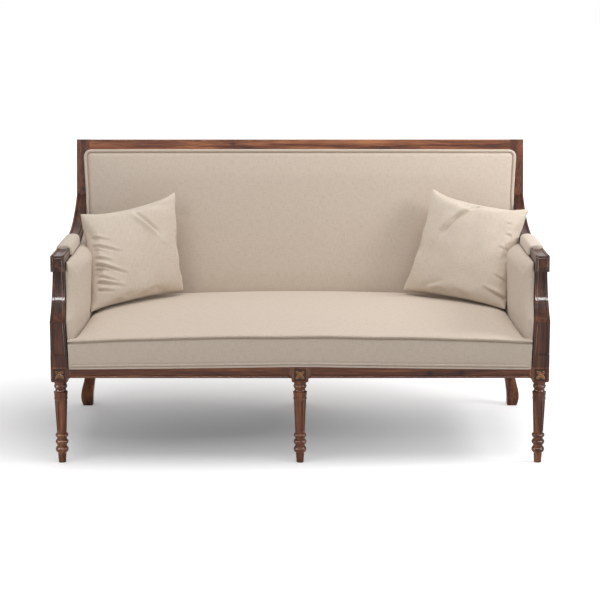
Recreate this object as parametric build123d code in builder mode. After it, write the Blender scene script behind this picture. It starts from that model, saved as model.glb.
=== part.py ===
from build123d import *
import os
from math import asin, atan, cos, degrees, hypot, radians, sin, sqrt, tan

# Two-seat sofa: carved and turned show-wood frame, close upholstery and two loose pillows.
# Millimetres, +Z up, -Y to the front. The origin is on the floor under the middle of the sofa.

os.makedirs("parts", exist_ok=True)

# Overall size
width = 1560.0
depth = 790.0
height = 950.0

# Clearances
pad_gap = 0.3
dowel_fit = 0.1

# Front legs: turned, fluted, with a carved block at the top
leg_block = 53.0
leg_block_bottom = 264.0
leg_block_height = 49.0
leg_block_chamfer = 4.0
flank_width = 8.0
foot_radius = 11.5
foot_top_radius = 13.4
foot_height = 31.0
foot_lip = 2.0
ring_radius = 20.3
ring_heights = (20.0, 17.0, 14.0)
ring_gap = 6.0
groove_radius = 15.2
shaft_top_radius = 20.0
cap_height = 58.0
cap_band = 5.0
cap_band_radius = 21.2
shoulder_height = 19.0
shoulder_radius = 22.2
neck_height = 12.0
neck_radius = 16.8
collar_height = 12.0
collar_radius = 20.8
collar_foot_radius = 18.4
cap_head_radius = 21.0
flute_count = 10
flute_radius = 3.0
flute_end_gap = 7.0
panel_size = 39.0
panel_depth = 2.0
petal_count = 4
petal_length = 17.0
petal_width = 9.0
boss_radius = 4.5
carving_height = 1.4

# Seat rails
rail_bottom = 277.0
rail_height = 68.0
rail_thickness = 28.0
rail_setback = 8.0
rail_bead_radius = 4.5
rear_rail_thickness = 26.0
rear_rail_setback = 7.0
side_rail_inset = 13.0
cross_rail_width = 60.0
cross_rail_height = 44.0
cross_rail_drop = 6.0
corner_block_leg = 100.0
corner_block_height = 40.0
corner_block_rise = 8.0

# Back uprights and rear legs
back_rake = 10.0
back_top_inset = 45.0
stile_width = 46.0
stile_depth = 32.0
stile_inset = 8.0
knee_height = 310.0
toe_depth = 36.0
toe_width = 32.0
toe_inset = 2.0
sabre_bow = 20.0
knee_round = 140.0
waist_height = 100.0
waist_width = 37.0
waist_inset = 9.0
ankle_height = 25.0
ankle_width = 41.0
ankle_splay = 5.0
middle_leg_width = 40.0

# Back frame
top_rail_height = 52.0
top_rail_depth = 30.0
top_rail_round = 3.0
lower_rail_bottom = 425.0
lower_rail_height = 60.0
lower_rail_depth = 24.0
post_width = 50.0
back_panel_thickness = 4.0

# Arms
arm_width = 45.0
arm_join_width = 35.0
arm_top = 660.0
arm_thickness = 42.0
arm_end_setback = 45.0
arm_end_length = 85.0
arm_end_drop = 10.0
arm_end_round = 10.0
arm_bead = 10.0
arm_channel = 3.5
arm_bead_round = 4.0
arm_join_share = 0.369
arm_pad_front = 190.0
arm_pad_length = 240.0
arm_pad_recess = 6.0
arm_pad_crown = 13.0
arm_pad_end_crown = 6.0
arm_flap = 4.0
arm_flap_drop = 4.0

# Arm supports
ledge_height = 458.0
ledge_width = 47.5
ledge_band = 2.0
straight_height = 24.0
support_sweep = 62.0
support_top_depth = 46.0
support_top_width = 36.0
support_lean = 5.0
support_bead = 9.0
support_channel = 4.0
support_bead_round = 2.4
support_bead_start = 39.0
support_back_drop = 12.0
tack_rail_thickness = 18.0
tack_rail_height = 32.0
tack_rail_rise = 55.0
tack_rail_inset = 20.0
outside_panel_thickness = 4.0
outside_panel_inset = 14.0

# Webbing
strap_width = 50.0
strap_thickness = 1.5
strap_lap = 18.0
seat_strap_count = 10
seat_cross_strap_count = 4
back_strap_count = 10
strap_pitch = 130.0

# Seat
cover_thickness = 3.0
seat_front_setback = 3.0
seat_front_bulge = 2.0
seam_middle = 407.0
seam_end = 391.0
seat_back_middle = 446.0
seat_back_end = 424.0
seat_crown = 16.0
seat_back_gap = 1.0

# Back pad
back_pad_thickness = 55.0
back_pad_reveal = 36.0
back_pad_overlap = 19.0
back_pad_low_gap = 4.0
back_pad_bottom = 398.0
back_pad_step = 24.0
back_pad_taper = 75.0
back_pad_corner = 24.0
back_pad_round = 12.0
back_pad_head = 34.0
back_pad_foot = 50.0
back_pad_side = 14.0

# Inner arm pads
arm_panel_edge = 13.0
arm_panel_front = 12.0
arm_panel_thickness = 39.0
arm_panel_rear = 34.0
arm_panel_head = 0.5
arm_panel_round = 8.0

# Pillows: centre from the sofa's side, front and floor, then turn, lean and roll in degrees
pillow_half = 178.0
pillow_thickness = 104.0
pillow_waist = 14.0
pillow_left_inset = 224.0
pillow_left_setback = 487.0
pillow_left_rise = 612.5
pillow_left_turn = 30.0
pillow_left_lean = 16.0
pillow_left_roll = 4.0
pillow_right_inset = 231.0
pillow_right_setback = 491.0
pillow_right_rise = 614.0
pillow_right_turn = -27.0
pillow_right_lean = 18.0
pillow_right_roll = -5.0

# Fasteners
dowel_radius = 4.0
dowel_length = 38.0
dowel_low = 15.0
dowel_high = 53.0
screw_radius = 2.2
screw_length = 62.0
screw_head_radius = 4.6
screw_head_height = 2.8
screw_rise = 20.0

# Places worked out from the sizes above
half_width = width / 2
front_y = -depth / 2
heel_y = depth / 2
rake = radians(back_rake)
block_top = leg_block_bottom + leg_block_height
leg_x = half_width - leg_block / 2
leg_y = front_y + leg_block / 2
rail_top = rail_bottom + rail_height
rail_front_y = front_y + rail_setback
rail_back_y = rail_front_y + rail_thickness
rail_mid_y = rail_front_y + rail_thickness / 2
rail_half = half_width - leg_block
stile_outer = half_width - stile_inset
stile_inner = stile_outer - stile_width
side_rail_outer = half_width - side_rail_inset
side_rail_inner = side_rail_outer - rail_thickness
side_rail_mid = (side_rail_outer + side_rail_inner) / 2


def stile_front(z):
    """Front face of the raked back uprights at one height."""
    return heel_y - back_top_inset - (height - z) * tan(rake)


def up_back(z):
    """Distance up the raked back plane from the seat rails to one height."""
    return (z - rail_top) / cos(rake)


back_plane = Plane((0, stile_front(rail_top), rail_top), (1, 0, 0), (0, -cos(rake), sin(rake)))
back_top = up_back(height)
top_rail_foot = back_top - top_rail_height
lower_rail_foot = up_back(lower_rail_bottom)
rear_rail_front_y = stile_front(rail_bottom + rail_height / 2) + rear_rail_setback
rear_rail_mid_y = rear_rail_front_y + rear_rail_thickness / 2
strap_layer = strap_thickness + pad_gap
seat_base = rail_top + 2 * strap_layer + pad_gap
arm_front_y = front_y + arm_end_setback
arm_end_bottom = arm_top - arm_thickness - arm_end_drop
arm_end_back_y = arm_front_y + arm_end_length
arm_pad_front_y = front_y + arm_pad_front
arm_pad_back_y = arm_pad_front_y + arm_pad_length
arm_join_height = arm_top + arm_join_share * (height - arm_top)
arm_join_y = stile_front(arm_join_height)
sweep_run = arm_join_y - arm_pad_back_y
sweep_rise = arm_join_height - arm_top
sweep_radius = (sweep_run**2 + sweep_rise**2) / (2 * sweep_rise)
sweep_centre = (arm_pad_back_y, arm_top + sweep_radius)
sweep_angle = degrees(asin(sweep_run / sweep_radius)) + 6
arm_join_foot = sweep_centre[1] - sqrt((sweep_radius + arm_thickness) ** 2 - sweep_run**2)
support_top = arm_end_bottom
support_radius = (support_sweep**2 + (support_top - ledge_height) ** 2) / (2 * support_sweep)
neck_bead_round = support_bead_round * sqrt(1 - ((support_top - ledge_height) / support_radius) ** 2)


def save(piece, name):
    """Label one finished piece and write it."""
    piece.part.label = name
    export_step(piece.part, f"parts/{name}.step")


def along_x(x, y, z):
    return Location((x, y, z), (0, 90, 0))


def along_y(x, y, z):
    return Location((x, y, z), (90, 0, 0))


def along_z(x, y, z):
    return Location((x, y, z))


def both_sides(places):
    """The same places on the right and, mirrored, on the left."""
    left = [Location((-p.position.X, p.position.Y, p.position.Z), p.orientation) for p in places]
    return places + left


def bore(places):
    """Dowel holes at the given places."""
    with Locations(*places):
        Cylinder(dowel_radius + dowel_fit, dowel_length + 2 * dowel_fit, mode=Mode.SUBTRACT)


# Dowel places on the right-hand side, each centred on the joint that it crosses
dowel_heights = (rail_bottom + dowel_low, rail_bottom + dowel_high)
arm_dowel_y = front_y + support_sweep + support_top_depth / 2
arm_join_z = arm_join_foot + (arm_join_height - arm_join_foot) / 3
arm_join_seat = Vector(stile_outer - arm_join_width / 2, stile_front(arm_join_z), arm_join_z)
front_rail_dowels = [along_x(rail_half, rail_mid_y, z) for z in dowel_heights]
side_front_dowels = [along_y(side_rail_mid, front_y + leg_block, z) for z in dowel_heights]
side_rear_dowels = [along_y(side_rail_mid, stile_front(z), z) for z in dowel_heights]
rear_rail_dowels = [along_x(stile_inner, rear_rail_mid_y, z) for z in dowel_heights]
support_dowels = [along_z(leg_x, leg_y, block_top)]
arm_support_dowels = [along_z(half_width - arm_width / 2, arm_dowel_y, support_top)]
arm_stile_dowels = [Location(arm_join_seat, (90 - back_rake, 0, 0))]
top_rail_dowels = []
for rise in (top_rail_height / 4, top_rail_height * 3 / 4):
    seat = back_plane.from_local_coords((stile_inner, top_rail_foot + rise, -top_rail_depth / 2))
    top_rail_dowels.append(along_x(seat.X, seat.Y, seat.Z))
lower_rail_dowels = []
for rise in (lower_rail_height / 4, lower_rail_height * 3 / 4):
    seat = back_plane.from_local_coords((stile_inner, lower_rail_foot + rise, -lower_rail_depth / 2))
    lower_rail_dowels.append(along_x(seat.X, seat.Y, seat.Z))
cross_rail_top = rail_top - cross_rail_drop
cross_dowel_x = cross_rail_width / 4
cross_front_z = (block_top + cross_rail_top) / 2
cross_rear_z = cross_rail_top - cross_rail_height / 2
cross_front_dowels = [along_y(x, rail_back_y, cross_front_z) for x in (-cross_dowel_x, cross_dowel_x)]
cross_rear_dowels = [along_y(x, rear_rail_front_y, cross_rear_z) for x in (-cross_dowel_x, cross_dowel_x)]
middle_front_dowels = [along_z(0, rail_mid_y, block_top)]
middle_rear_dowels = [along_z(0, rear_rail_mid_y, rail_bottom)]

# Corner screws on the right-hand side, driven square through the blocks into the legs
screw_z = rail_bottom + screw_rise
screw_x = side_rail_inner - corner_block_leg / 2
front_screw_head = (screw_x, rail_back_y + corner_block_leg / 2, screw_z)
rear_screw_head = (screw_x, rear_rail_front_y - corner_block_leg / 2, screw_z)
front_screw = Plane(front_screw_head, z_dir=(1, -1, 0))
rear_screw = Plane(rear_screw_head, z_dir=(1, 1, 0))


def screw_shape(plane, fit, mode):
    """One countersunk screw, or its hole when a fit is given."""
    on_head = (Align.CENTER, Align.CENTER, Align.MIN)
    shank = screw_radius + fit
    with Locations(plane.location):
        Cylinder(shank, screw_length + fit, align=on_head, mode=mode)
        Cone(screw_head_radius + fit, shank, screw_head_height, align=on_head, mode=mode)


# Front legs
rings_foot = foot_height + foot_lip
shaft_bottom = rings_foot + sum(ring_heights) + ring_gap * (len(ring_heights) - 1)
shaft_top = leg_block_bottom - cap_height
flute_bottom = shaft_bottom + flute_end_gap
flute_top = shaft_top - flute_end_gap
shaft_slope = (shaft_top_radius - groove_radius) / (shaft_top - shaft_bottom)


def turning_outline():
    """Half section of the turned leg, from the foot up into the block."""
    with BuildLine() as outline:
        Polyline((0, 0), (foot_radius, 0), (foot_top_radius, foot_height), (groove_radius, rings_foot))
        z = rings_foot
        for ring in ring_heights[:-1]:
            ThreePointArc((groove_radius, z), (ring_radius, z + ring / 2), (groove_radius, z + ring))
            Line((groove_radius, z + ring), (groove_radius, z + ring + ring_gap))
            z += ring + ring_gap
        last_ring = (ring_radius, (z + shaft_bottom) / 2)
        ThreePointArc((groove_radius, z), last_ring, (groove_radius, shaft_bottom))
        band_top = shaft_top + cap_band
        shoulder = band_top + shoulder_height
        collar_foot = shoulder + neck_height
        collar_top = collar_foot + collar_height
        Polyline(
            (groove_radius, shaft_bottom),
            (shaft_top_radius, shaft_top),
            (cap_band_radius, shaft_top),
            (cap_band_radius, band_top),
            (shaft_top_radius, band_top),
            (shoulder_radius, shoulder),
        )
        neck = (neck_radius, (shoulder + collar_foot) / 2)
        ThreePointArc((shoulder_radius, shoulder), neck, (collar_foot_radius, collar_foot))
        collar = (collar_radius, (collar_foot + collar_top) / 2)
        ThreePointArc((collar_foot_radius, collar_foot), collar, (collar_foot_radius, collar_top))
        Polyline(
            (collar_foot_radius, collar_top),
            (cap_head_radius, leg_block_bottom),
            (0, leg_block_bottom),
            (0, 0),
        )
    return outline.line


with BuildPart() as flute:
    slope = degrees(atan(shaft_slope))
    flute_end_shaft = groove_radius + shaft_slope * (flute_bottom - shaft_bottom)
    with Locations(Location((flute_end_shaft, 0, flute_bottom), (0, slope, 0))):
        flute_end_radius = flute_radius * flute_end_shaft / shaft_top_radius
        flute_length = (flute_top - flute_bottom) / cos(radians(slope))
        Cone(flute_end_radius, flute_radius, flute_length, align=(Align.CENTER, Align.CENTER, Align.MIN))
        Sphere(flute_end_radius)
        with Locations((0, 0, flute_length)):
            Sphere(flute_radius)
with BuildPart() as turning:
    with BuildSketch(Plane.XZ):
        add(turning_outline())
        make_face()
    revolve(axis=Axis.Z)
    with PolarLocations(0, flute_count):
        add(flute.part, mode=Mode.SUBTRACT)


def front_leg(x, flank_sides, dowels):
    """One front leg at x, with an angled flank on each side where the rail meets it."""
    with BuildPart() as leg:
        with BuildSketch(Plane((x, leg_y, leg_block_bottom))):
            Rectangle(leg_block, leg_block)
        extrude(amount=leg_block_height)
        chamfer(leg.faces().sort_by(Axis.Z)[0].edges(), leg_block_chamfer)
        with Locations((x, leg_y, 0)):
            add(turning.part)
        for side in flank_sides:
            edge = x + side * leg_block / 2
            with BuildSketch(Plane.XY.offset(rail_bottom)):
                Polygon(
                    (edge - side * flank_width, front_y),
                    (edge, front_y),
                    (edge + side * flank_width, rail_front_y),
                    (edge - side * flank_width, rail_front_y),
                    align=None,
                )
            extrude(amount=block_top - rail_bottom)
        panel = Plane((x, front_y, leg_block_bottom + leg_block_height / 2), (1, 0, 0), (0, -1, 0))
        with BuildSketch(panel):
            Rectangle(panel_size, panel_size)
        extrude(amount=-panel_depth, mode=Mode.SUBTRACT)
        with BuildSketch(panel.offset(-panel_depth)):
            with PolarLocations(petal_length / 2, petal_count, start_angle=45):
                Ellipse(petal_length / 2, petal_width / 2)
            Circle(boss_radius)
        extrude(amount=carving_height)
        bore(dowels)
        if flank_sides == (-1,):
            screw_shape(front_screw, dowel_fit, Mode.SUBTRACT)
    return leg


front_leg_right = front_leg(leg_x, (-1,), front_rail_dowels[:1] + side_front_dowels[:1] + support_dowels)
save(front_leg_right, "front_leg_right")
with BuildPart() as front_leg_left:
    mirror(front_leg_right.part, about=Plane.YZ)
save(front_leg_left, "front_leg_left")
front_leg_middle = front_leg(0, (-1, 1), middle_front_dowels)
save(front_leg_middle, "front_leg_middle")

# Front seat rail, notched over the middle leg
with BuildPart() as front_seat_rail:
    with BuildSketch(Plane.YZ.offset(-rail_half)):
        Polygon(
            (rail_front_y, rail_bottom),
            (rail_back_y, rail_bottom),
            (rail_back_y, rail_top),
            (rail_front_y, rail_top),
            align=None,
        )
    extrude(amount=2 * rail_half)
    bead_half = rail_half - flank_width
    with BuildSketch(Plane.YZ.offset(-bead_half)):
        with Locations((rail_front_y, rail_bottom + rail_bead_radius)):
            Circle(rail_bead_radius)
    extrude(amount=2 * bead_half)
    with BuildSketch(Plane.XY):
        with Locations((0, front_y + leg_block / 2)):
            Rectangle(leg_block, leg_block)
        with Locations((0, front_y + rail_setback / 2)):
            Rectangle(leg_block + 2 * flank_width, rail_setback)
    extrude(amount=block_top, mode=Mode.SUBTRACT)
    bore(both_sides(front_rail_dowels) + middle_front_dowels + cross_front_dowels)
save(front_seat_rail, "front_seat_rail")

# Back upright and sabre leg, in one piece
knee_front = stile_front(knee_height)
stile_run = stile_depth / cos(rake)


def sabre_outline():
    """Rear leg in side view, from the floor to the knee."""
    knee_back = knee_front + stile_run
    with BuildLine() as outline:
        Line((knee_back, knee_height), (knee_front, knee_height))
        SagittaArc((knee_front, knee_height), (heel_y - toe_depth, 0), sabre_bow)
        Line((heel_y - toe_depth, 0), (heel_y, 0))
        SagittaArc((heel_y, 0), (knee_back, knee_height), -sabre_bow)
    return outline.line


with BuildPart() as stile_blank:
    with BuildSketch(Plane.YZ) as stile_side:
        add(sabre_outline())
        make_face()
        crown_back = back_plane.from_local_coords((0, back_top, -stile_depth))
        Polygon(
            (knee_front, knee_height),
            (knee_front + stile_run, knee_height),
            (crown_back.Y, crown_back.Z),
            (stile_front(height), height),
            align=None,
        )
        knees = stile_side.vertices().filter_by(lambda v: abs(v.Y - knee_height) < pad_gap)
        fillet(knees, knee_round)
    extrude(amount=half_width)
    with BuildSketch(Plane.XZ.offset(-depth)):
        with BuildLine():
            Polyline((stile_outer, rail_bottom), (stile_outer, height), (stile_inner, height))
            Line((stile_inner, height), (stile_inner, rail_bottom))
            waist_outer = stile_outer - waist_inset
            ankle_outer = stile_outer + ankle_splay
            toe_outer = stile_outer - toe_inset
            Spline(
                (stile_outer, rail_bottom),
                (waist_outer, waist_height),
                (ankle_outer, ankle_height),
                (toe_outer, 0),
                tangents=((0, -1), (-1, -2)),
            )
            Line((toe_outer, 0), (toe_outer - toe_width, 0))
            Spline(
                (toe_outer - toe_width, 0),
                (ankle_outer - ankle_width, ankle_height),
                (waist_outer - waist_width, waist_height),
                (stile_inner, rail_bottom),
                tangents=((-1, 4), (0, 1)),
            )
        make_face()
    extrude(amount=2 * depth, mode=Mode.INTERSECT)

with BuildPart() as rear_leg_stile_right:
    add(stile_blank.part)
    bore(side_rear_dowels + rear_rail_dowels + top_rail_dowels + lower_rail_dowels + arm_stile_dowels)
    screw_shape(rear_screw, dowel_fit, Mode.SUBTRACT)
save(rear_leg_stile_right, "rear_leg_stile_right")
with BuildPart() as rear_leg_stile_left:
    mirror(rear_leg_stile_right.part, about=Plane.YZ)
save(rear_leg_stile_left, "rear_leg_stile_left")

# Rear seat rail and the sixth leg under its middle
with BuildPart() as rear_seat_rail:
    with BuildSketch(Plane.XY.offset(rail_bottom)):
        with Locations((0, rear_rail_mid_y)):
            Rectangle(2 * stile_inner, rear_rail_thickness)
    extrude(amount=rail_height)
    bore(both_sides(rear_rail_dowels) + middle_rear_dowels + cross_rear_dowels)
save(rear_seat_rail, "rear_seat_rail")

with BuildPart() as rear_leg_middle:
    with BuildSketch(Plane.YZ.offset(-middle_leg_width / 2)):
        add(sabre_outline())
        make_face()
    extrude(amount=middle_leg_width)
    split(bisect_by=Plane.XY.offset(rail_bottom), keep=Keep.BOTTOM)
    with BuildSketch(Plane.XZ.offset(-depth)):
        half = middle_leg_width / 2
        with BuildLine():
            Polyline((-toe_width / 2, 0), (toe_width / 2, 0))
            Line((toe_width / 2, 0), (waist_width / 2, waist_height))
            Polyline(
                (waist_width / 2, waist_height),
                (half, rail_bottom),
                (-half, rail_bottom),
                (-waist_width / 2, waist_height),
                (-toe_width / 2, 0),
            )
        make_face()
    extrude(amount=2 * depth, mode=Mode.INTERSECT)
    bore(middle_rear_dowels)
save(rear_leg_middle, "rear_leg_middle")

# Side seat rails, scribed to the rear legs
with BuildPart() as side_seat_rail_right:
    with BuildSketch(Plane.YZ.offset(side_rail_inner)):
        Polygon(
            (front_y + leg_block, rail_bottom),
            (stile_front(rail_bottom) + stile_run / 2, rail_bottom),
            (stile_front(rail_top) + stile_run / 2, rail_top),
            (front_y + leg_block, rail_top),
            align=None,
        )
    extrude(amount=rail_thickness)
    add(stile_blank.part, mode=Mode.SUBTRACT)
    bore(side_front_dowels + side_rear_dowels)
save(side_seat_rail_right, "side_seat_rail_right")
with BuildPart() as side_seat_rail_left:
    mirror(side_seat_rail_right.part, about=Plane.YZ)
save(side_seat_rail_left, "side_seat_rail_left")

# Cross rail from front to back under the middle of the seat
with BuildPart() as seat_cross_rail:
    with BuildSketch(Plane.XY.offset(cross_rail_top - cross_rail_height)):
        with Locations((0, (rail_back_y + rear_rail_front_y) / 2)):
            Rectangle(cross_rail_width, rear_rail_front_y - rail_back_y)
    extrude(amount=cross_rail_height)
    with BuildSketch(Plane.XY):
        with Locations((0, leg_y)):
            Rectangle(leg_block, leg_block)
    extrude(amount=block_top, mode=Mode.SUBTRACT)
    bore(cross_front_dowels + cross_rear_dowels)
save(seat_cross_rail, "seat_cross_rail")

# Corner blocks, cut round the legs, and their screws
with BuildPart() as corner_block_front_right:
    with BuildSketch(Plane.XY.offset(rail_bottom + corner_block_rise)):
        Polygon(
            (side_rail_inner, rail_back_y),
            (side_rail_inner, rail_back_y + corner_block_leg),
            (side_rail_inner - corner_block_leg, rail_back_y),
            align=None,
        )
        with Locations((leg_x, leg_y)):
            Rectangle(leg_block, leg_block, mode=Mode.SUBTRACT)
    extrude(amount=corner_block_height)
    screw_shape(front_screw, dowel_fit, Mode.SUBTRACT)
save(corner_block_front_right, "corner_block_front_right")
with BuildPart() as corner_block_front_left:
    mirror(corner_block_front_right.part, about=Plane.YZ)
save(corner_block_front_left, "corner_block_front_left")

with BuildPart() as corner_block_rear_right:
    with BuildSketch(Plane.XY.offset(rail_bottom + corner_block_rise)):
        Polygon(
            (side_rail_inner, rear_rail_front_y),
            (side_rail_inner, rear_rail_front_y - corner_block_leg),
            (side_rail_inner - corner_block_leg, rear_rail_front_y),
            align=None,
        )
    extrude(amount=corner_block_height)
    add(stile_blank.part, mode=Mode.SUBTRACT)
    screw_shape(rear_screw, dowel_fit, Mode.SUBTRACT)
save(corner_block_rear_right, "corner_block_rear_right")
with BuildPart() as corner_block_rear_left:
    mirror(corner_block_rear_right.part, about=Plane.YZ)
save(corner_block_rear_left, "corner_block_rear_left")

with BuildPart() as corner_block_screws:
    for screw in (front_screw, rear_screw):
        screw_shape(screw, 0, Mode.ADD)
    mirror(corner_block_screws.part, about=Plane.YZ)
save(corner_block_screws, "corner_block_screws")

# Back frame: top rail, lower rail and centre post on the raked plane
with BuildPart() as back_top_rail:
    with BuildSketch(back_plane):
        with Locations((0, top_rail_foot + top_rail_height / 2)):
            Rectangle(2 * stile_inner, top_rail_height)
    extrude(amount=-top_rail_depth)
    long_edges = back_top_rail.edges().filter_by(Axis.X)
    fillet(long_edges.sort_by(Axis.Z)[-2:], top_rail_round)
    bore(both_sides(top_rail_dowels))
save(back_top_rail, "back_top_rail")

with BuildPart() as back_lower_rail:
    with BuildSketch(back_plane):
        with Locations((0, lower_rail_foot + lower_rail_height / 2)):
            Rectangle(2 * stile_inner, lower_rail_height)
    extrude(amount=-lower_rail_depth)
    bore(both_sides(lower_rail_dowels))
save(back_lower_rail, "back_lower_rail")

post_foot = lower_rail_foot + lower_rail_height
with BuildPart() as back_centre_post:
    with BuildSketch(back_plane):
        with Locations((0, (post_foot + top_rail_foot) / 2)):
            Rectangle(post_width, top_rail_foot - post_foot)
    extrude(amount=-lower_rail_depth)
save(back_centre_post, "back_centre_post")

# Outside back panel, behind the lower rail and the post
panel_foot = pad_gap
panel_head = top_rail_foot - pad_gap
with BuildPart() as back_outside_panel:
    with BuildSketch(back_plane.offset(-lower_rail_depth)):
        with Locations((0, (panel_foot + panel_head) / 2)):
            Rectangle(2 * (stile_inner - pad_gap), panel_head - panel_foot)
    extrude(amount=-back_panel_thickness)
    add(rear_seat_rail.part, mode=Mode.SUBTRACT)
save(back_outside_panel, "back_outside_panel")


# Arms: moulded strips that follow one side view, between straight lines in plan
def arm_outer(y):
    """Outer side of the arm in plan: it closes in from the arm end to the stile."""
    share = (y - arm_front_y) / (arm_join_y - arm_front_y)
    return half_width + (stile_outer - half_width) * share


def arm_inner(y):
    """Inner side of the arm in plan: the arm is narrower where it meets the upright."""
    share = (y - arm_front_y) / (arm_join_y - arm_front_y)
    return arm_outer(y) - arm_width + (arm_width - arm_join_width) * share


def arm_outline(lowered):
    """Arm in side view, with its show face lowered by the depth of the channel."""
    front = arm_front_y + lowered
    top = arm_top - lowered
    under = arm_top - arm_thickness
    recess = arm_top - arm_pad_recess
    with BuildLine() as outline:
        Line((front, arm_end_bottom), (front, top - arm_end_round))
        CenterArc((front + arm_end_round, top - arm_end_round), arm_end_round, 90, 90)
        Polyline(
            (front + arm_end_round, top),
            (arm_pad_front_y, top),
            (arm_pad_front_y, recess),
            (arm_pad_back_y, recess),
            (arm_pad_back_y, top),
        )
        upper = CenterArc(sweep_centre, sweep_radius + lowered, 270, sweep_angle)
        lower = CenterArc(sweep_centre, sweep_radius + arm_thickness, 270, sweep_angle)
        Line(upper @ 1, lower @ 1)
        Polyline(
            (arm_pad_back_y, under),
            (arm_end_back_y, under),
            (arm_end_back_y - arm_end_drop, arm_end_bottom),
            (front, arm_end_bottom),
        )
    return outline.line


def on_arm_show_face(edge):
    """True for a long edge of an arm strip that can be seen from above or from the front."""
    point = edge.position_at(0.5)
    if abs(edge.tangent_at(0.5).X) > 0.5:
        return False
    corner = (arm_front_y + arm_end_round, arm_top - arm_end_round)
    if point.Z < corner[1]:
        return abs(point.Y - arm_front_y) < pad_gap
    if point.Y < corner[0]:
        return abs(hypot(point.Y - corner[0], point.Z - corner[1]) - arm_end_round) < pad_gap
    if point.Y < arm_pad_back_y:
        return abs(point.Z - arm_top) < pad_gap
    return abs(hypot(point.Y - sweep_centre[0], point.Z - sweep_centre[1]) - sweep_radius) < pad_gap


def arm_strip(outer, inner, lowered, rounded):
    """One lengthwise strip of the right arm, between two lines in plan."""
    with BuildPart() as strip:
        with BuildSketch(Plane.YZ):
            add(arm_outline(lowered))
            make_face()
        extrude(amount=half_width)
        with BuildSketch(Plane.XY):
            Polygon(
                (outer(front_y), front_y),
                (outer(heel_y), heel_y),
                (inner(heel_y), heel_y),
                (inner(front_y), front_y),
                align=None,
            )
        extrude(amount=height, mode=Mode.INTERSECT)
        if rounded:
            fillet(strip.edges().filter_by(on_arm_show_face), rounded)
        split(bisect_by=back_plane, keep=Keep.TOP)
    return strip.part


arm_core = arm_strip(arm_outer, arm_inner, arm_channel, 0)
arm_outer_bead = arm_strip(arm_outer, lambda y: arm_outer(y) - arm_bead, 0, arm_bead_round)
arm_inner_bead = arm_strip(lambda y: arm_inner(y) + arm_bead, arm_inner, 0, arm_bead_round)
with BuildPart() as arm_right:
    add([arm_core, arm_outer_bead, arm_inner_bead])
    bore(arm_support_dowels + arm_stile_dowels)
save(arm_right, "arm_right")
with BuildPart() as arm_left:
    mirror(arm_right.part, about=Plane.YZ)
save(arm_left, "arm_left")

# Arm supports: a lower block, then two beads beside a channel, with a plain band where they turn back
bead_foot = block_top + support_bead_start
band_foot = ledge_height - ledge_band
straight_top = block_top + straight_height


def support_inner(z):
    """Inner side of the support in front view."""
    foot = half_width - leg_block
    ledge = half_width - ledge_width
    head = half_width - support_lean - support_top_width
    if z <= straight_top:
        return foot
    if z <= ledge_height:
        return foot + (ledge - foot) * (z - straight_top) / (ledge_height - straight_top)
    return ledge + (head - ledge) * (z - ledge_height) / (support_top - ledge_height)


def support_outer(z):
    """Outer side of the support in front view."""
    return half_width - support_lean * max(0, z - ledge_height) / (support_top - ledge_height)


def support_front(z):
    """Front of the support in side view: upright to the ledge, then swept back."""
    if z <= ledge_height:
        return front_y
    return front_y + support_sweep - support_radius + sqrt(support_radius**2 - (support_top - z) ** 2)


def support_outline(lowered):
    """Support in side view, with its front lowered by the depth of the channel."""
    front = front_y + lowered
    head_back = front_y + support_sweep + support_top_depth
    back_ledge = (front_y + leg_block, ledge_height - support_back_drop)
    with BuildLine() as outline:
        Polyline((front_y + leg_block, block_top), (front, block_top), (front, ledge_height))
        TangentArc((front + support_sweep, support_top), (front, ledge_height), tangent=(0, -1))
        Line((front + support_sweep, support_top), (head_back, support_top))
        TangentArc((head_back, support_top), back_ledge, tangent=(0, -1))
        Line(back_ledge, (front_y + leg_block, block_top))
    return outline.line


def support_strip(inner, outer, levels, lowered):
    """Part of the right support between two side lines and between the given heights."""
    with BuildPart() as strip:
        with BuildSketch(Plane.YZ):
            add(support_outline(lowered))
            make_face()
        extrude(amount=half_width)
        with BuildSketch(Plane.XZ.offset(-depth)):
            right = [(outer(z), z) for z in levels]
            left = [(inner(z), z) for z in reversed(levels)]
            Polygon(*right, *left, align=None)
        extrude(amount=2 * depth, mode=Mode.INTERSECT)
    return strip.part


def on_support_show_face(edge):
    """True for a long edge of a support bead on its front face."""
    point = edge.position_at(0.5)
    return abs(edge.tangent_at(0.5).Z) > 0.5 and abs(point.Y - support_front(point.Z)) < pad_gap


def support_run(levels, bead_round):
    """A run of the support with a channel down its front and a rounded bead on each side."""
    bead_inner = lambda z: support_inner(z) + support_bead
    bead_outer = lambda z: support_outer(z) - support_bead
    with BuildPart() as channel:
        add(support_strip(bead_inner, bead_outer, levels, -support_channel))
        add(support_strip(support_inner, support_outer, levels, support_channel), mode=Mode.SUBTRACT)
    with BuildPart() as run:
        add(support_strip(support_inner, support_outer, levels, 0))
        add(channel.part, mode=Mode.SUBTRACT)
        show_edges = run.edges().filter_by(on_support_show_face).sort_by(Axis.X)
        fillet(show_edges[:2], bead_round)
        fillet(show_edges[2:], bead_round)
    return run.part


support_foot = support_strip(support_inner, support_outer, (block_top, straight_top, bead_foot), 0)
support_post = support_run((bead_foot, band_foot), support_bead_round)
support_band = support_strip(support_inner, support_outer, (band_foot, ledge_height), 0)
support_neck = support_run((ledge_height, support_top), neck_bead_round)
with BuildPart() as arm_support_right:
    add([support_foot, support_post, support_band, support_neck])
    bore(support_dowels + arm_support_dowels + front_rail_dowels[1:] + side_front_dowels[1:])
save(arm_support_right, "arm_support_right")
with BuildPart() as arm_support_left:
    mirror(arm_support_right.part, about=Plane.YZ)
save(arm_support_left, "arm_support_left")

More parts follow.
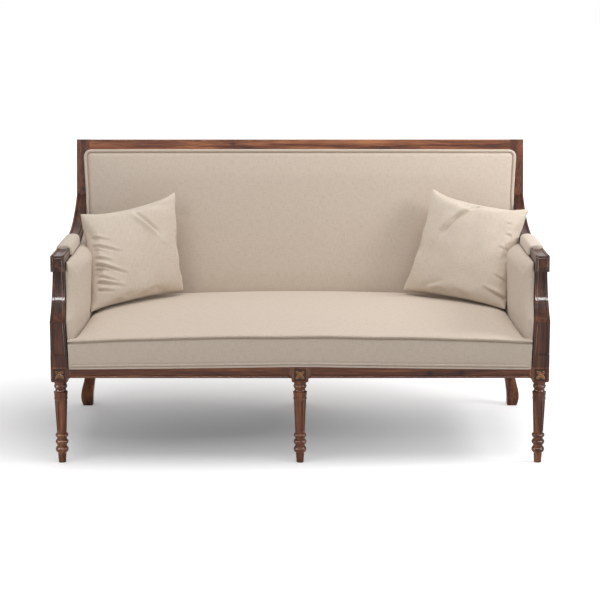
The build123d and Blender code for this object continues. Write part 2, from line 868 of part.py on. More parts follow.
# Tack rail in the arm, scribed between support and stile
with BuildPart() as arm_tack_rail_right:
    tack_z = rail_top + tack_rail_rise
    tack_top = tack_z + tack_rail_height
    with BuildSketch(Plane.YZ.offset(half_width - tack_rail_inset - tack_rail_thickness)):
        Polygon(
            (support_front(tack_z) + support_top_depth / 2, tack_z),
            (stile_front(tack_z) + stile_run / 2, tack_z),
            (stile_front(tack_top) + stile_run / 2, tack_top),
            (support_front(tack_top) + support_top_depth / 2, tack_top),
            align=None,
        )
    extrude(amount=tack_rail_thickness)
    add(arm_support_right.part, mode=Mode.SUBTRACT)
    add(stile_blank.part, mode=Mode.SUBTRACT)
save(arm_tack_rail_right, "arm_tack_rail_right")
with BuildPart() as arm_tack_rail_left:
    mirror(arm_tack_rail_right.part, about=Plane.YZ)
save(arm_tack_rail_left, "arm_tack_rail_left")

# Dowels, one group
with BuildPart() as frame_dowels:
    right_dowels = front_rail_dowels + side_front_dowels + side_rear_dowels + rear_rail_dowels
    right_dowels += support_dowels + arm_support_dowels + arm_stile_dowels
    right_dowels += top_rail_dowels + lower_rail_dowels
    middle_dowels = middle_front_dowels + middle_rear_dowels + cross_front_dowels + cross_rear_dowels
    with Locations(*both_sides(right_dowels), *middle_dowels):
        Cylinder(dowel_radius, dowel_length)
save(frame_dowels, "frame_dowels")


# Upholstery of the arms
def arc_meets_back(radius, forward):
    """Point where an arc about the sweep centre meets a line in front of the raked back."""
    slope = tan(rake)
    start = stile_front(0) - forward / cos(rake) - sweep_centre[0]
    a = 1 + slope**2
    b = 2 * (slope * start - sweep_centre[1])
    c = start**2 + sweep_centre[1] ** 2 - radius**2
    z = (-b - sqrt(b**2 - 4 * a * c)) / (2 * a)
    return sweep_centre[0] + start + slope * z, z


# Outside arm panel: drawn to the middle of the wood round it, then trimmed by that wood
with BuildPart() as arm_outside_panel_right:
    with BuildSketch(Plane.YZ.offset(half_width - outside_panel_inset - outside_panel_thickness)):
        middle_radius = sweep_radius + arm_thickness / 2
        panel_tip = arc_meets_back(middle_radius, -stile_depth / 2)
        panel_heel = (stile_front(rail_top) + stile_run / 2, rail_top + pad_gap)
        panel_toe = (front_y + leg_block / 2, rail_top + pad_gap)
        panel_neck = (arm_dowel_y, support_top + arm_end_drop)
        arm_middle = arm_top - arm_thickness / 2
        with BuildLine():
            panel_ledge = (panel_toe[0], ledge_height - support_back_drop)
            Polyline(panel_tip, panel_heel, panel_toe, panel_ledge, panel_neck)
            Polyline(panel_neck, (arm_dowel_y, arm_middle), (arm_pad_back_y, arm_middle))
            RadiusArc((arm_pad_back_y, arm_middle), panel_tip, -middle_radius)
        make_face()
    extrude(amount=outside_panel_thickness)
    add(arm_support_right.part, mode=Mode.SUBTRACT)
    add(arm_right.part, mode=Mode.SUBTRACT)
    add(stile_blank.part, mode=Mode.SUBTRACT)
save(arm_outside_panel_right, "arm_outside_panel_right")
with BuildPart() as arm_outside_panel_left:
    mirror(arm_outside_panel_right.part, about=Plane.YZ)
save(arm_outside_panel_left, "arm_outside_panel_left")

# Inner arm pad: a crowned pad on the slanted plane of the support's inner side
panel_lean = atan((support_inner(support_top) - support_inner(straight_top)) / (support_top - straight_top))
arm_panel_foot = support_inner(straight_top) - straight_top * tan(panel_lean) - pad_gap
arm_panel_plane = Plane((arm_panel_foot, 0, 0), (0, 1, 0), (cos(panel_lean), 0, -sin(panel_lean)))
arm_panel_top = arm_top - arm_thickness - arm_end_drop - pad_gap
arm_panel_front_y = front_y + arm_panel_edge
arm_panel_rear_y = stile_front(seat_base) - (back_pad_thickness + pad_gap) / cos(rake)
arm_panel_base = (seat_base + pad_gap) / cos(panel_lean)


def arm_panel_outline():
    """Inner arm pad in its own plane, whose heights are measured from the floor."""
    radius = sweep_radius + arm_top - arm_panel_top
    tip = arc_meets_back(radius, back_pad_thickness + pad_gap)
    with BuildLine() as outline:
        Line((arm_panel_rear_y, arm_panel_base), (arm_panel_front_y, arm_panel_base))
        Line((arm_panel_front_y, arm_panel_base), (arm_panel_front_y, ledge_height))
        neck = (arm_panel_front_y + support_sweep, arm_panel_top)
        TangentArc(neck, (arm_panel_front_y, ledge_height), tangent=(0, -1))
        Line(neck, (arm_pad_back_y, arm_panel_top))
        RadiusArc((arm_pad_back_y, arm_panel_top), tip, -radius)
        Line(tip, (arm_panel_rear_y, arm_panel_base))
    return outline.line


def arm_panel_crown(swell):
    """Plan section of the inner arm pad: its three thicknesses times the swell."""
    back = arm_join_y
    middle = (arm_panel_front_y + arm_panel_rear_y) / 2
    with BuildLine() as outline:
        Polyline((back, arm_panel_rear * swell), (back, 0), (arm_panel_front_y, 0))
        Line((arm_panel_front_y, 0), (arm_panel_front_y, arm_panel_front * swell))
        ThreePointArc(
            (arm_panel_front_y, arm_panel_front * swell),
            (middle, arm_panel_thickness * swell),
            (back, arm_panel_rear * swell),
        )
    return outline.line


arm_panel_up = (sin(panel_lean), 0, cos(panel_lean))
with BuildPart() as arm_inner_pad_right:
    arm_panel_middle = (ledge_height + arm_panel_top) / 2
    for rise, swell in ((seat_base, 1), (arm_panel_middle, 1), (arm_join_height, arm_panel_head)):
        foot = arm_panel_plane.from_local_coords((0, rise, 0))
        with BuildSketch(Plane(foot, (0, 1, 0), arm_panel_up)):
            add(arm_panel_crown(swell))
            make_face()
    loft()
    with BuildSketch(arm_panel_plane):
        add(arm_panel_outline())
        make_face()
    extrude(amount=-2 * arm_panel_thickness, mode=Mode.INTERSECT)
    inner_face = arm_inner_pad_right.faces().sort_by(Axis.X)[0]
    fillet(inner_face.edges(), arm_panel_round)
save(arm_inner_pad_right, "arm_inner_pad_right")
with BuildPart() as arm_inner_pad_left:
    mirror(arm_inner_pad_right.part, about=Plane.YZ)
save(arm_inner_pad_left, "arm_inner_pad_left")

# Arm top pad: a crowned pad in the recess of the arm, with a flap down the arm's inner side
with BuildPart() as arm_top_pad_right:
    pad_floor = arm_top - arm_pad_recess
    for share, crown in ((0.0, arm_pad_end_crown), (0.5, arm_pad_crown), (1.0, arm_pad_end_crown)):
        y = arm_pad_front_y + pad_gap + share * (arm_pad_length - 2 * pad_gap)
        outer = arm_outer(y)
        inner = arm_inner(y) - arm_flap
        with BuildSketch(Plane.XZ.offset(-y)):
            with BuildLine():
                Polyline((inner, arm_top), (inner, pad_floor), (outer, pad_floor), (outer, arm_top))
                ThreePointArc((outer, arm_top), ((inner + outer) / 2, arm_top + crown), (inner, arm_top))
            make_face()
    loft()
    with BuildSketch(Plane.XY.offset(arm_panel_top + pad_gap + arm_flap_drop)):
        flap_ends = (arm_pad_front_y + pad_gap, arm_pad_back_y - pad_gap)
        inner_line = [(arm_inner(y) - arm_flap, y) for y in flap_ends]
        outer_line = [(arm_inner(y), y) for y in reversed(flap_ends)]
        Polygon(*inner_line, *outer_line, align=None)
    extrude(until=Until.NEXT)
save(arm_top_pad_right, "arm_top_pad_right")
with BuildPart() as arm_top_pad_left:
    mirror(arm_top_pad_right.part, about=Plane.YZ)
save(arm_top_pad_left, "arm_top_pad_left")

# Seat webbing: straps from front to back, then straps from side to side over them
with BuildPart() as seat_webbing:
    strap_y0 = rail_back_y - strap_lap
    strap_y1 = rear_rail_front_y + strap_lap
    with BuildSketch(Plane.XY.offset(rail_top + pad_gap)):
        with Locations((0, (strap_y0 + strap_y1) / 2)):
            with GridLocations(strap_pitch, 0, seat_strap_count, 1):
                Rectangle(strap_width, strap_y1 - strap_y0)
    extrude(amount=strap_thickness)
    with BuildSketch(Plane.XY.offset(rail_top + pad_gap + strap_layer)):
        with Locations((0, (strap_y0 + strap_y1) / 2)):
            with GridLocations(0, strap_pitch, 1, seat_cross_strap_count):
                Rectangle(2 * (side_rail_inner + strap_lap), strap_width)
    extrude(amount=strap_thickness)
save(seat_webbing, "seat_webbing")


# Seat: a crowned form between the leg blocks, cut back beside the inner arm pads
def seat_outline(x, inset):
    """Seat section across x: the cover's outside, or the foam inside it when inset."""
    share = (x / rail_half) ** 2
    front = front_y + seat_front_setback + inset
    seam = seam_middle + (seam_end - seam_middle) * share - inset
    back = stile_front(seat_back_middle) - (back_pad_thickness + seat_back_gap) / cos(rake) - inset
    back_z = seat_back_middle + (seat_back_end - seat_back_middle) * share - inset
    with BuildLine() as outline:
        if inset:
            foot = (front, seat_base)
            Line((back, seat_base), foot)
        else:
            foot = (front, block_top + pad_gap)
            lap = rail_front_y - pad_gap
            Polyline((back, seat_base), (lap, seat_base), (lap, foot[1]), foot)
        bulge = (front - seat_front_bulge, (foot[1] + seam) / 2)
        ThreePointArc(foot, bulge, (front, seam))
        crown = ((front + back) / 2, (seam + back_z) / 2 + seat_crown)
        ThreePointArc((front, seam), crown, (back, back_z))
        Line((back, back_z), (back, seat_base))
    return outline.line


def seat_side_outline(extra):
    """Plan of what the right inner arm pad takes from the seat, with a gap round it."""
    base = support_inner(straight_top) - pad_gap - extra
    front = arm_panel_front_y - pad_gap - extra
    middle = (arm_panel_front_y + arm_panel_rear_y) / 2
    with BuildLine() as outline:
        ThreePointArc(
            (base - arm_panel_front, front),
            (base - arm_panel_thickness, middle),
            (base - arm_panel_rear, arm_join_y),
        )
        Polyline((base - arm_panel_rear, arm_join_y), (half_width, arm_join_y), (half_width, front))
        Line((half_width, front), (base - arm_panel_front, front))
    return outline.line


def seat_form(inset):
    """The seat's crowned body."""
    with BuildPart() as form:
        for share in (-1.0, -0.6, 0.0, 0.6, 1.0):
            x = share * (rail_half - pad_gap - inset)
            with BuildSketch(Plane.YZ.offset(x)):
                add(seat_outline(x, inset))
                make_face()
        loft()
        with BuildSketch(Plane.XY):
            add(seat_side_outline(inset))
            make_face()
            mirror(about=Plane.YZ)
        extrude(amount=height, mode=Mode.SUBTRACT)
    return form


seat_foam = seat_form(cover_thickness)
save(seat_foam, "seat_foam")
seat_cover = seat_form(0)
with BuildPart() as seat_cover_shell:
    add(seat_cover.part)
    add(seat_foam.part, mode=Mode.SUBTRACT)
save(seat_cover_shell, "seat_cover")

# Back webbing: upright straps on the faces of the two back rails
with BuildPart() as back_webbing:
    strap_v0 = post_foot - strap_lap
    strap_v1 = top_rail_foot + back_pad_reveal / 4
    with BuildSketch(back_plane.offset(pad_gap)):
        with Locations((0, (strap_v0 + strap_v1) / 2)):
            with GridLocations(strap_pitch, 0, back_strap_count, 1):
                Rectangle(strap_width, strap_v1 - strap_v0)
    extrude(amount=strap_thickness)
save(back_webbing, "back_webbing")

# Back pad: crowned, rounded at the top corners and narrower between the arms
back_pad_half = stile_inner + back_pad_overlap
back_pad_low_half = stile_inner - back_pad_low_gap
back_pad_base = strap_layer + pad_gap


def back_pad_outline(inset):
    """Back pad in the raked plane, stepped in above the arms."""
    low = back_pad_low_half - inset
    neck = stile_outer - arm_join_width - pad_gap - inset
    high = back_pad_half - inset
    bottom = up_back(back_pad_bottom)
    taper = up_back(arm_join_height - back_pad_taper)
    neck_rise = up_back(arm_join_height) + pad_gap + inset
    step = neck_rise + back_pad_step
    top = back_top - back_pad_reveal - inset
    corner = back_pad_corner - inset
    with BuildLine() as outline:
        Polyline((-low, bottom), (low, bottom), (low, taper), (neck, neck_rise), (high, step))
        Line((high, step), (high, top - corner))
        CenterArc((high - corner, top - corner), corner, 0, 90)
        Line((high - corner, top), (corner - high, top))
        CenterArc((corner - high, top - corner), corner, 90, 90)
        Polyline((-high, top - corner), (-high, step), (-neck, neck_rise), (-low, taper), (-low, bottom))
    return outline.line


def back_crown_section(fall, inset):
    """Section up the back: thickest in the middle, thinner by the fall towards the sides."""
    bottom = up_back(back_pad_bottom)
    middle = (bottom + back_top) / 2
    with BuildLine() as outline:
        Polyline(
            (back_top, back_pad_head - fall - inset),
            (back_top, back_pad_base),
            (bottom, back_pad_base),
            (bottom, back_pad_foot - fall - inset),
        )
        ThreePointArc(
            (bottom, back_pad_foot - fall - inset),
            (middle, back_pad_thickness - fall - inset),
            (back_top, back_pad_head - fall - inset),
        )
    return outline.line


def back_form(inset):
    """The back's crowned body, standing on the webbing."""
    with BuildPart() as form:
        for share, fall in ((-1, back_pad_side), (0, 0), (1, back_pad_side)):
            origin = back_plane.origin + Vector(share * back_pad_half, 0, 0)
            with BuildSketch(Plane(origin, (0, sin(rake), cos(rake)), (1, 0, 0))):
                add(back_crown_section(fall, inset))
                make_face()
        loft()
        with BuildSketch(back_plane):
            add(back_pad_outline(inset))
            make_face()
        extrude(amount=2 * back_pad_thickness, mode=Mode.INTERSECT)
        front_face = form.faces().sort_by(SortBy.AREA)[-1]
        fillet(front_face.edges(), back_pad_round - inset)
    return form


back_foam = back_form(cover_thickness)
save(back_foam, "back_foam")
back_cover_body = back_form(0)
with BuildPart() as back_cover:
    add(back_cover_body.part)
    add(back_foam.part, mode=Mode.SUBTRACT)
save(back_cover, "back_cover")

# Dust cover under the seat, cut round the legs
with BuildPart() as dust_cover:
    cover_back_y = rear_rail_front_y - pad_gap
    with BuildSketch(Plane.XY.offset(rail_bottom - pad_gap - strap_thickness)):
        with Locations((0, (rail_mid_y + cover_back_y) / 2)):
            Rectangle(2 * side_rail_mid, cover_back_y - rail_mid_y)
        with Locations((-leg_x, leg_y), (0, leg_y), (leg_x, leg_y)):
            Rectangle(leg_block, leg_block, mode=Mode.SUBTRACT)
    extrude(amount=strap_thickness)
    add(stile_blank.part, mode=Mode.SUBTRACT)
    mirror(stile_blank.part, about=Plane.YZ, mode=Mode.SUBTRACT)
save(dust_cover, "dust_cover")


# Pillows: knife-edged, full in the middle, with sides drawn in between the corners
def pillow_plane(centre, turn, lean, roll):
    """Middle plane of a pillow: turned to the middle of the seat, leaned back and rolled."""
    across = Vector(cos(radians(turn)), sin(radians(turn)), 0)
    facing = Vector(sin(radians(turn)), -cos(radians(turn)), 0)
    normal = facing * cos(radians(lean)) + Vector(0, 0, sin(radians(lean)))
    rolled = across * cos(radians(roll)) + normal.cross(across) * sin(radians(roll))
    return Plane(centre, rolled, normal)


# Each station of a half pillow: share of the half thickness and share of the half side
pillow_stations = ((0.0, 1.0), (0.42, 0.87), (0.82, 0.62), (1.0, 0.3))


def pillow_form(plane, inset):
    """Two crowned halves that meet at the knife edge."""
    with BuildPart() as form:
        for side in (1, -1):
            for share, size in pillow_stations:
                half = (pillow_half - inset) * size
                waist = half - pillow_waist * size
                rise = side * share * (pillow_thickness / 2 - inset)
                with BuildSketch(Plane(plane.origin + plane.z_dir * rise, plane.x_dir, plane.z_dir)):
                    with BuildLine():
                        ThreePointArc((-half, -half), (0, -waist), (half, -half))
                        ThreePointArc((half, -half), (waist, 0), (half, half))
                        ThreePointArc((half, half), (0, waist), (-half, half))
                        ThreePointArc((-half, half), (-waist, 0), (-half, -half))
                    make_face()
            loft()
    return form


left_centre = (pillow_left_inset - half_width, front_y + pillow_left_setback, pillow_left_rise)
right_centre = (half_width - pillow_right_inset, front_y + pillow_right_setback, pillow_right_rise)
pillow_places = {
    "left": pillow_plane(left_centre, pillow_left_turn, pillow_left_lean, pillow_left_roll),
    "right": pillow_plane(right_centre, pillow_right_turn, pillow_right_lean, pillow_right_roll),
}
for side, plane in pillow_places.items():
    filling = pillow_form(plane, cover_thickness)
    save(filling, f"pillow_filling_{side}")
    whole = pillow_form(plane, 0)
    with BuildPart() as pillow_cover:
        add(whole.part)
        add(filling.part, mode=Mode.SUBTRACT)
    save(pillow_cover, f"pillow_cover_{side}")
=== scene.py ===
# %% [markdown]
# # A two-seat sofa with a carved show frame
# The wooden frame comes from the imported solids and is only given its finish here. Everything soft,
# the seat, the back, the arm pads and the two loose pillows, is made again in this file as cloth
# over stuffing, because a solid can't show a seam, a roll or a fold.

# %% Frame
from math import cos, exp, pi, radians, sin, sqrt, tan

import bmesh
import bpy
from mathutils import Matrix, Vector, noise


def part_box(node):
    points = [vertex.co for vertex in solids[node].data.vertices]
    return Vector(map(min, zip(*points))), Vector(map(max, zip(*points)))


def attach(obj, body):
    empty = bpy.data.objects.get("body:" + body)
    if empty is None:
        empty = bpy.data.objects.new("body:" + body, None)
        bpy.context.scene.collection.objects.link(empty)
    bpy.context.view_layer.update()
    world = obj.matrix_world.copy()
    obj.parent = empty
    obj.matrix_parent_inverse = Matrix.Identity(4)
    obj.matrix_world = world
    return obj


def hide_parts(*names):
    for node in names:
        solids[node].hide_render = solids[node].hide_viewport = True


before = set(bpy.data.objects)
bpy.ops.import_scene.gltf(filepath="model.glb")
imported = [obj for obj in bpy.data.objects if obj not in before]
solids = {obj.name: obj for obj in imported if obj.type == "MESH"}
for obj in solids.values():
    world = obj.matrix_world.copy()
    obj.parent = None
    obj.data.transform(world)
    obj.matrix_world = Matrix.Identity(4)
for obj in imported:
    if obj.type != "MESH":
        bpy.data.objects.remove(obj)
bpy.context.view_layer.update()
scene = bpy.context.scene
scene.view_settings.view_transform = "Standard"

# %% [markdown]
# ## Places on the sofa
# The soft pieces lie against the wood, so this file repeats the few sizes that decide where they go,
# in metres. The back leans by ten degrees: `on_back` turns a place across, up and out from the back
# frame into a point in space.

# %% Places
sides = ((-1, "left"), (1, "right"))
front_y = -0.395
rake = radians(10)
stile_top, stile_top_y = 0.95, 0.35
leg_inner = 0.727
leg_block_top = 0.337
support_ledge, support_head, support_reach = 0.458, 0.608, 0.062
arm_top, arm_under = 0.66, 0.6077
pad_back_y = 0.035
join_height = 0.767


def stile_front(z):
    """Front of the raked stile at one height."""
    return stile_top_y - (stile_top - z) * tan(rake)


def on_back(x, z, out):
    """Point at x and at height z on the face of the back frame, moved out from it."""
    return Vector((x, stile_front(z) - out * cos(rake), z + out * sin(rake)))


arm_run = stile_front(join_height) - pad_back_y
arm_sweep = (arm_run**2 + (join_height - arm_top) ** 2) / (2 * (join_height - arm_top))
print("arm sweep radius", round(arm_sweep, 4))

# %% [markdown]
# ## Materials
# A material is a small tree of nodes. `add_node` makes one node, sets its values and links its
# inputs, and everything else is built on it. Colours are written as the hex values one reads off a
# screen and turned to the linear light that the renderer works in.

# %% Material helpers
def linear(code):
    """sRGB hex to linear RGBA."""
    parts = [int(code[i : i + 2], 16) / 255 for i in (1, 3, 5)]
    return (*[p / 12.92 if p <= 0.04045 else ((p + 0.055) / 1.055) ** 2.4 for p in parts], 1.0)


def add_node(tree, kind, values=None, links=None):
    """Make a node. A key is the name or number of a socket, or the name of a setting."""
    node = tree.nodes.new(kind)
    for name, value in (values or {}).items():
        if isinstance(name, int) or name in node.inputs:
            node.inputs[name].default_value = value
        else:
            setattr(node, name, value)
    for name, source in (links or {}).items():
        tree.links.new(source, node.inputs[name])
    return node


def new_material(name, **shader_values):
    """A material with its shader's sockets set by name, underscores for spaces."""
    material = bpy.data.materials.new(name)
    material.use_nodes = True
    tree = material.node_tree
    shader = tree.nodes["Principled BSDF"]
    for socket, value in shader_values.items():
        shader.inputs[socket.replace("_", " ")].default_value = value
    return material, tree, shader


def mix_colours(tree, share, first, second_code):
    """Mix a colour output with a hex colour. Sockets 6 and 7 are the two colours, output 2 the result."""
    values = {"data_type": "RGBA", 7: linear(second_code)}
    return add_node(tree, "ShaderNodeMix", values, {0: share, 6: first}).outputs[2]


def ramp(tree, source, stops):
    """Colour ramp through (position, hex) stops."""
    node = add_node(tree, "ShaderNodeValToRGB", links={"Fac": source})
    elements = node.color_ramp.elements
    while len(elements) < len(stops):
        elements.new(0.5)
    for element, (position, code) in zip(elements, stops):
        element.position = position
        element.color = linear(code)
    return node.outputs["Color"]


print("mid grey is", round(linear("#808080")[0], 3), "in linear light")

# %% [markdown]
# ## Lacquered wood
# The show wood is a stained hardwood, probably beech, under a glossy clear lacquer: reddish brown,
# with darker pores drawn out along the grain and a few round knots. The lacquer is the shader's coat,
# a second smooth layer over rougher wood, which gives the thin white lights along every bead. Grain
# follows the length of each piece, so there is one material for each direction. The pieces get lighter
# and darker copies of the stain, partly painted light and shade: the top rail is the lightest, the legs
# and the long seat rails are darker, and the arms, their supports and the side rails are the darkest.

# %% Stains and painted shade
def grain_stretch(axis, along, across):
    """Pattern scale along and across the grain, as repeats per metre."""
    return tuple(along if letter == axis else across for letter in "XYZ")


# The top rail's stops are lighter and the arms' darker than the others, partly painted light and shade
stain_stops = ((0.48, "#270f07"), (0.62, "#4e2613"), (0.76, "#6c3c23"), (0.92, "#8f5a35"))
rail_stops = ((0.48, "#35160b"), (0.62, "#64341c"), (0.76, "#885030"), (0.92, "#b07248"))
arm_stops = ((0.48, "#190804"), (0.62, "#32150b"), (0.76, "#492616"), (0.92, "#663c22"))
# The second brown is painted shade on the floor of the sunk panels in the leg blocks
knot_brown, panel_shade_brown = "#2a100a", "#3a1d0e"
# Axis, where a step of the painted shade begins and ends along it, and the share of shade before and after
panel_shade_steps = (
    ("Y", front_y + 0.0008, front_y + 0.0016, 0, 1), ("Y", front_y + 0.0022, front_y + 0.003, 1, 0),
    ("Z", 0.266, 0.267, 0, 1), ("Z", 0.310, 0.311, 1, 0),
)


def painted_panel_shade(tree, place):
    """Share of painted shade, dark brown on the floor of the sunk panels in the leg blocks."""
    parts = add_node(tree, "ShaderNodeSeparateXYZ", links={"Vector": place}).outputs
    share = None
    for letter, low, high, start, end in panel_shade_steps:
        step = add_node(
            tree,
            "ShaderNodeMapRange",
            {"From Min": low, "From Max": high, "To Min": start, "To Max": end},
            {"Value": parts[letter]},
        ).outputs["Result"]
        if share is not None:
            step = add_node(tree, "ShaderNodeMath", {"operation": "MULTIPLY"}, {0: share, 1: step}).outputs[0]
        share = step
    return share


def knot_spot(tree, place, axis, knot):
    """Share of a dark oval knot round one point, longer along the grain."""
    away = add_node(tree, "ShaderNodeVectorMath", {"operation": "SUBTRACT", 1: knot}, {0: place})
    stretch = {"operation": "MULTIPLY", 1: grain_stretch(axis, 55, 90)}
    oval = add_node(tree, "ShaderNodeVectorMath", stretch, {0: away.outputs["Vector"]})
    reach = add_node(tree, "ShaderNodeVectorMath", {"operation": "LENGTH"}, {0: oval.outputs["Vector"]})
    fade = {"interpolation_type": "SMOOTHSTEP", "From Min": 0.2, "From Max": 1.0, "To Min": 0.85, "To Max": 0}
    return add_node(tree, "ShaderNodeMapRange", fade, {"Value": reach.outputs["Value"]}).outputs["Result"]


print("stains from", stain_stops[0][1], "to", rail_stops[-1][1])


# %% Lacquered wood
def grain_noise(tree, place, stretch, **values):
    """Noise drawn out along the grain."""
    mapped = add_node(tree, "ShaderNodeMapping", {"Scale": stretch}, {"Vector": place})
    grain = add_node(tree, "ShaderNodeTexNoise", {"Scale": 1.0, **values}, {"Vector": mapped.outputs[0]})
    return grain.outputs["Fac"]


def lacquered_wood(axis, knots=(), stops=stain_stops, name="lacquered_beech"):
    """Stained wood with its grain along one axis, under clear lacquer."""
    wood, tree, shader = new_material(
        f"{name}_grain_{axis.lower()}", Roughness=0.42, IOR=1.5, Coat_Weight=0.45, Coat_Roughness=0.06
    )
    # The stained wood itself hardly shines, the lacquer over it does
    shader.inputs["Specular IOR Level"].default_value = 0.1
    shader.inputs["Coat IOR"].default_value = 1.38
    place = add_node(tree, "ShaderNodeTexCoord").outputs["Object"]
    # Pores are about 1.5 mm wide and 40 mm long, drawn twice as wide so that they show
    pores = grain_noise(tree, place, grain_stretch(axis, 18, 320), Detail=2.0, Roughness=0.6)
    bands = grain_noise(tree, place, grain_stretch(axis, 3, 45), Detail=3.0, Distortion=0.6)
    mixed = add_node(tree, "ShaderNodeMath", {"operation": "MULTIPLY_ADD", 1: 0.45}, {0: pores, 2: bands})
    stain = ramp(tree, mixed.outputs[0], stops)
    for knot in knots:
        stain = mix_colours(tree, knot_spot(tree, place, axis, knot), stain, knot_brown)
    # Painted shade on the floor of the sunk panels in the leg blocks
    if axis == "Z":
        stain = mix_colours(tree, painted_panel_shade(tree, place), stain, panel_shade_brown)
    tree.links.new(stain, shader.inputs["Base Color"])
    dents = add_node(tree, "ShaderNodeBump", {"Strength": 0.12, "Distance": 0.0004}, {"Height": pores})
    tree.links.new(dents.outputs["Normal"], shader.inputs["Normal"])
    return wood


top_rail_knot = (-0.232, 0.342, 0.935)
stile_knot = (-0.749, 0.318, 0.782)
front_rail_knots = (0.407, front_y + 0.008, 0.293), (0.505, front_y + 0.008, 0.295)
wood_along = {
    "X": lacquered_wood("X", (top_rail_knot,), rail_stops),
    "X, dark": lacquered_wood("X", front_rail_knots, name="dark_lacquered_beech"),
    "Y": lacquered_wood("Y", stops=arm_stops),
    "Z": lacquered_wood("Z", (stile_knot,)),
    "Z, dark": lacquered_wood("Z", stops=arm_stops, name="dark_lacquered_beech"),
}
print("wood", [m.name for m in wood_along.values()])

# %% [markdown]
# ## Linen
# The cover is a plain-woven linen in natural beige. Real threads lie about 0.6 mm apart, which is a
# fifth of a pixel here, so the weave is drawn three to four times as coarse. Linen is uneven: thick
# places in the yarn, slubs, give short streaks along and across. Each soft piece carries a UV map in
# metres called `cloth`, so the weave keeps its scale and runs with the cloth.

# %% Linen
thread = 0.0022


def linen(name, shade, tone, light):
    """Plain weave with slubs, coloured between three tones."""
    cloth, tree, shader = new_material(name, Roughness=0.92, Sheen_Weight=0.22, Sheen_Roughness=0.45)
    # Yarn has next to no gloss, but its loose fibres catch some light at the edges
    shader.inputs["Specular IOR Level"].default_value = 0.1
    lie = add_node(tree, "ShaderNodeUVMap", {"uv_map": "cloth"}).outputs["UV"]
    # A band of the wave texture repeats every 0.314 over its scale
    weave = []
    for direction in "XY":
        stripes = {"bands_direction": direction, "Scale": 0.314 / thread}
        weave.append(add_node(tree, "ShaderNodeTexWave", stripes, {"Vector": lie}).outputs["Fac"])
    threads = add_node(tree, "ShaderNodeMath", {"operation": "MULTIPLY"}, dict(enumerate(weave))).outputs[0]
    slubs = [grain_noise(tree, lie, stretch, Detail=2.0) for stretch in ((45, 520, 1), (520, 45, 1))]
    uneven = add_node(tree, "ShaderNodeMath", {"operation": "ADD"}, dict(enumerate(slubs))).outputs[0]
    look = add_node(tree, "ShaderNodeMath", {"operation": "MULTIPLY_ADD", 1: 0.28}, {0: threads, 2: uneven})
    colour = ramp(tree, look.outputs[0], ((0.78, shade), (1.07, tone), (1.34, light)))
    tree.links.new(colour, shader.inputs["Base Color"])
    relief = add_node(tree, "ShaderNodeBump", {"Strength": 0.3, "Distance": 0.0005}, {"Height": threads})
    tree.links.new(relief.outputs["Normal"], shader.inputs["Normal"])
    return cloth


cover_linen = linen("natural_linen_cover", "#c4b4a4", "#cabaaa", "#cfc1b2")
pillow_linen = linen("natural_linen_pillow", "#cbbbaa", "#d0c1b1", "#d5c8b9")
print("linen thread drawn at", thread * 1000, "mm")

# %% [markdown]
# ## What lies inside and below
# Sawn beech for the hidden rails, jute webbing, foam, fibre, zinc-plated screws and the black dust
# cloth under the seat hardly show, but a part that is looked at from below needs them to be right.
# Sawn wood is pale and dull, jute brown and hairy, foam cream and full of pores, fibre white and
# soft, zinc a blurred grey metal, and spunbond cloth nearly black without any gloss.

# %% Hidden materials
def speckled(name, colours, size, **shader_values):
    """A material whose colour wanders between two tones over spots of one size in metres."""
    material, tree, shader = new_material(name, **shader_values)
    place = add_node(tree, "ShaderNodeTexCoord").outputs["Object"]
    noise_node = add_node(tree, "ShaderNodeTexNoise", {"Scale": 1 / size, "Detail": 3.0}, {"Vector": place})
    spots = noise_node.outputs["Fac"]
    colour = ramp(tree, spots, ((0.35, colours[0]), (0.65, colours[1])))
    tree.links.new(colour, shader.inputs["Base Color"])
    relief = add_node(tree, "ShaderNodeBump", {"Strength": 0.2, "Distance": size / 4}, {"Height": spots})
    tree.links.new(relief.outputs["Normal"], shader.inputs["Normal"])
    return material


sawn_beech = speckled("sawn_beech", ("#a8845c", "#c9a77c"), 0.006, Roughness=0.8)
jute_webbing = speckled("jute_webbing", ("#84663f", "#a98a5c"), 0.003, Roughness=0.95)
seat_foam = speckled("polyurethane_foam", ("#d9cda0", "#ece3c0"), 0.002, Roughness=0.95)
pillow_fibre = speckled("polyester_fibre", ("#e6e3dc", "#f4f2ee"), 0.004, Roughness=1.0)
zinc_steel = speckled("zinc_plated_steel", ("#9a9a98", "#b9b9b5"), 0.002, Roughness=0.35, Metallic=1.0)
dust_cloth = speckled("black_spunbond_cloth", ("#141414", "#222120"), 0.0015, Roughness=0.9)
print("dust cloth is", dust_cloth.name, "and the screws are", zinc_steel.name)

# %% [markdown]
# ## Finish of the solids
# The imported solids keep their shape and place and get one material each. Show wood is looked up by
# the way its grain runs, as a maker cuts it from the board. The rest is told by a word in its name,
# and what is left is sawn wood.

# %% Finish of the solids
finish_of = {
    "X": ("back_top_rail",),
    "X, dark": ("front_seat_rail", "rear_seat_rail"),
    "Y": ("arm_left", "arm_right", "side_seat_rail_left", "side_seat_rail_right"),
    "Z": (
        "front_leg_left", "front_leg_middle", "front_leg_right",
        "rear_leg_middle", "rear_leg_stile_left", "rear_leg_stile_right",
    ),
    "Z, dark": ("arm_support_left", "arm_support_right"),
}
hidden_finish = {
    "webbing": jute_webbing, "foam": seat_foam, "filling": pillow_fibre, "screws": zinc_steel,
    "dust": dust_cloth, "cover": cover_linen, "pad": cover_linen, "panel": cover_linen,
}


def finish_solid(name):
    """Material of one solid, from its name."""
    for axis, names in finish_of.items():
        if name in names:
            return wood_along[axis]
    for word, material in hidden_finish.items():
        if word in name:
            return material
    return sawn_beech


for name, solid in solids.items():
    solid.data.materials.clear()
    solid.data.materials.append(finish_solid(name))
print("finished", len(solids), "solids")

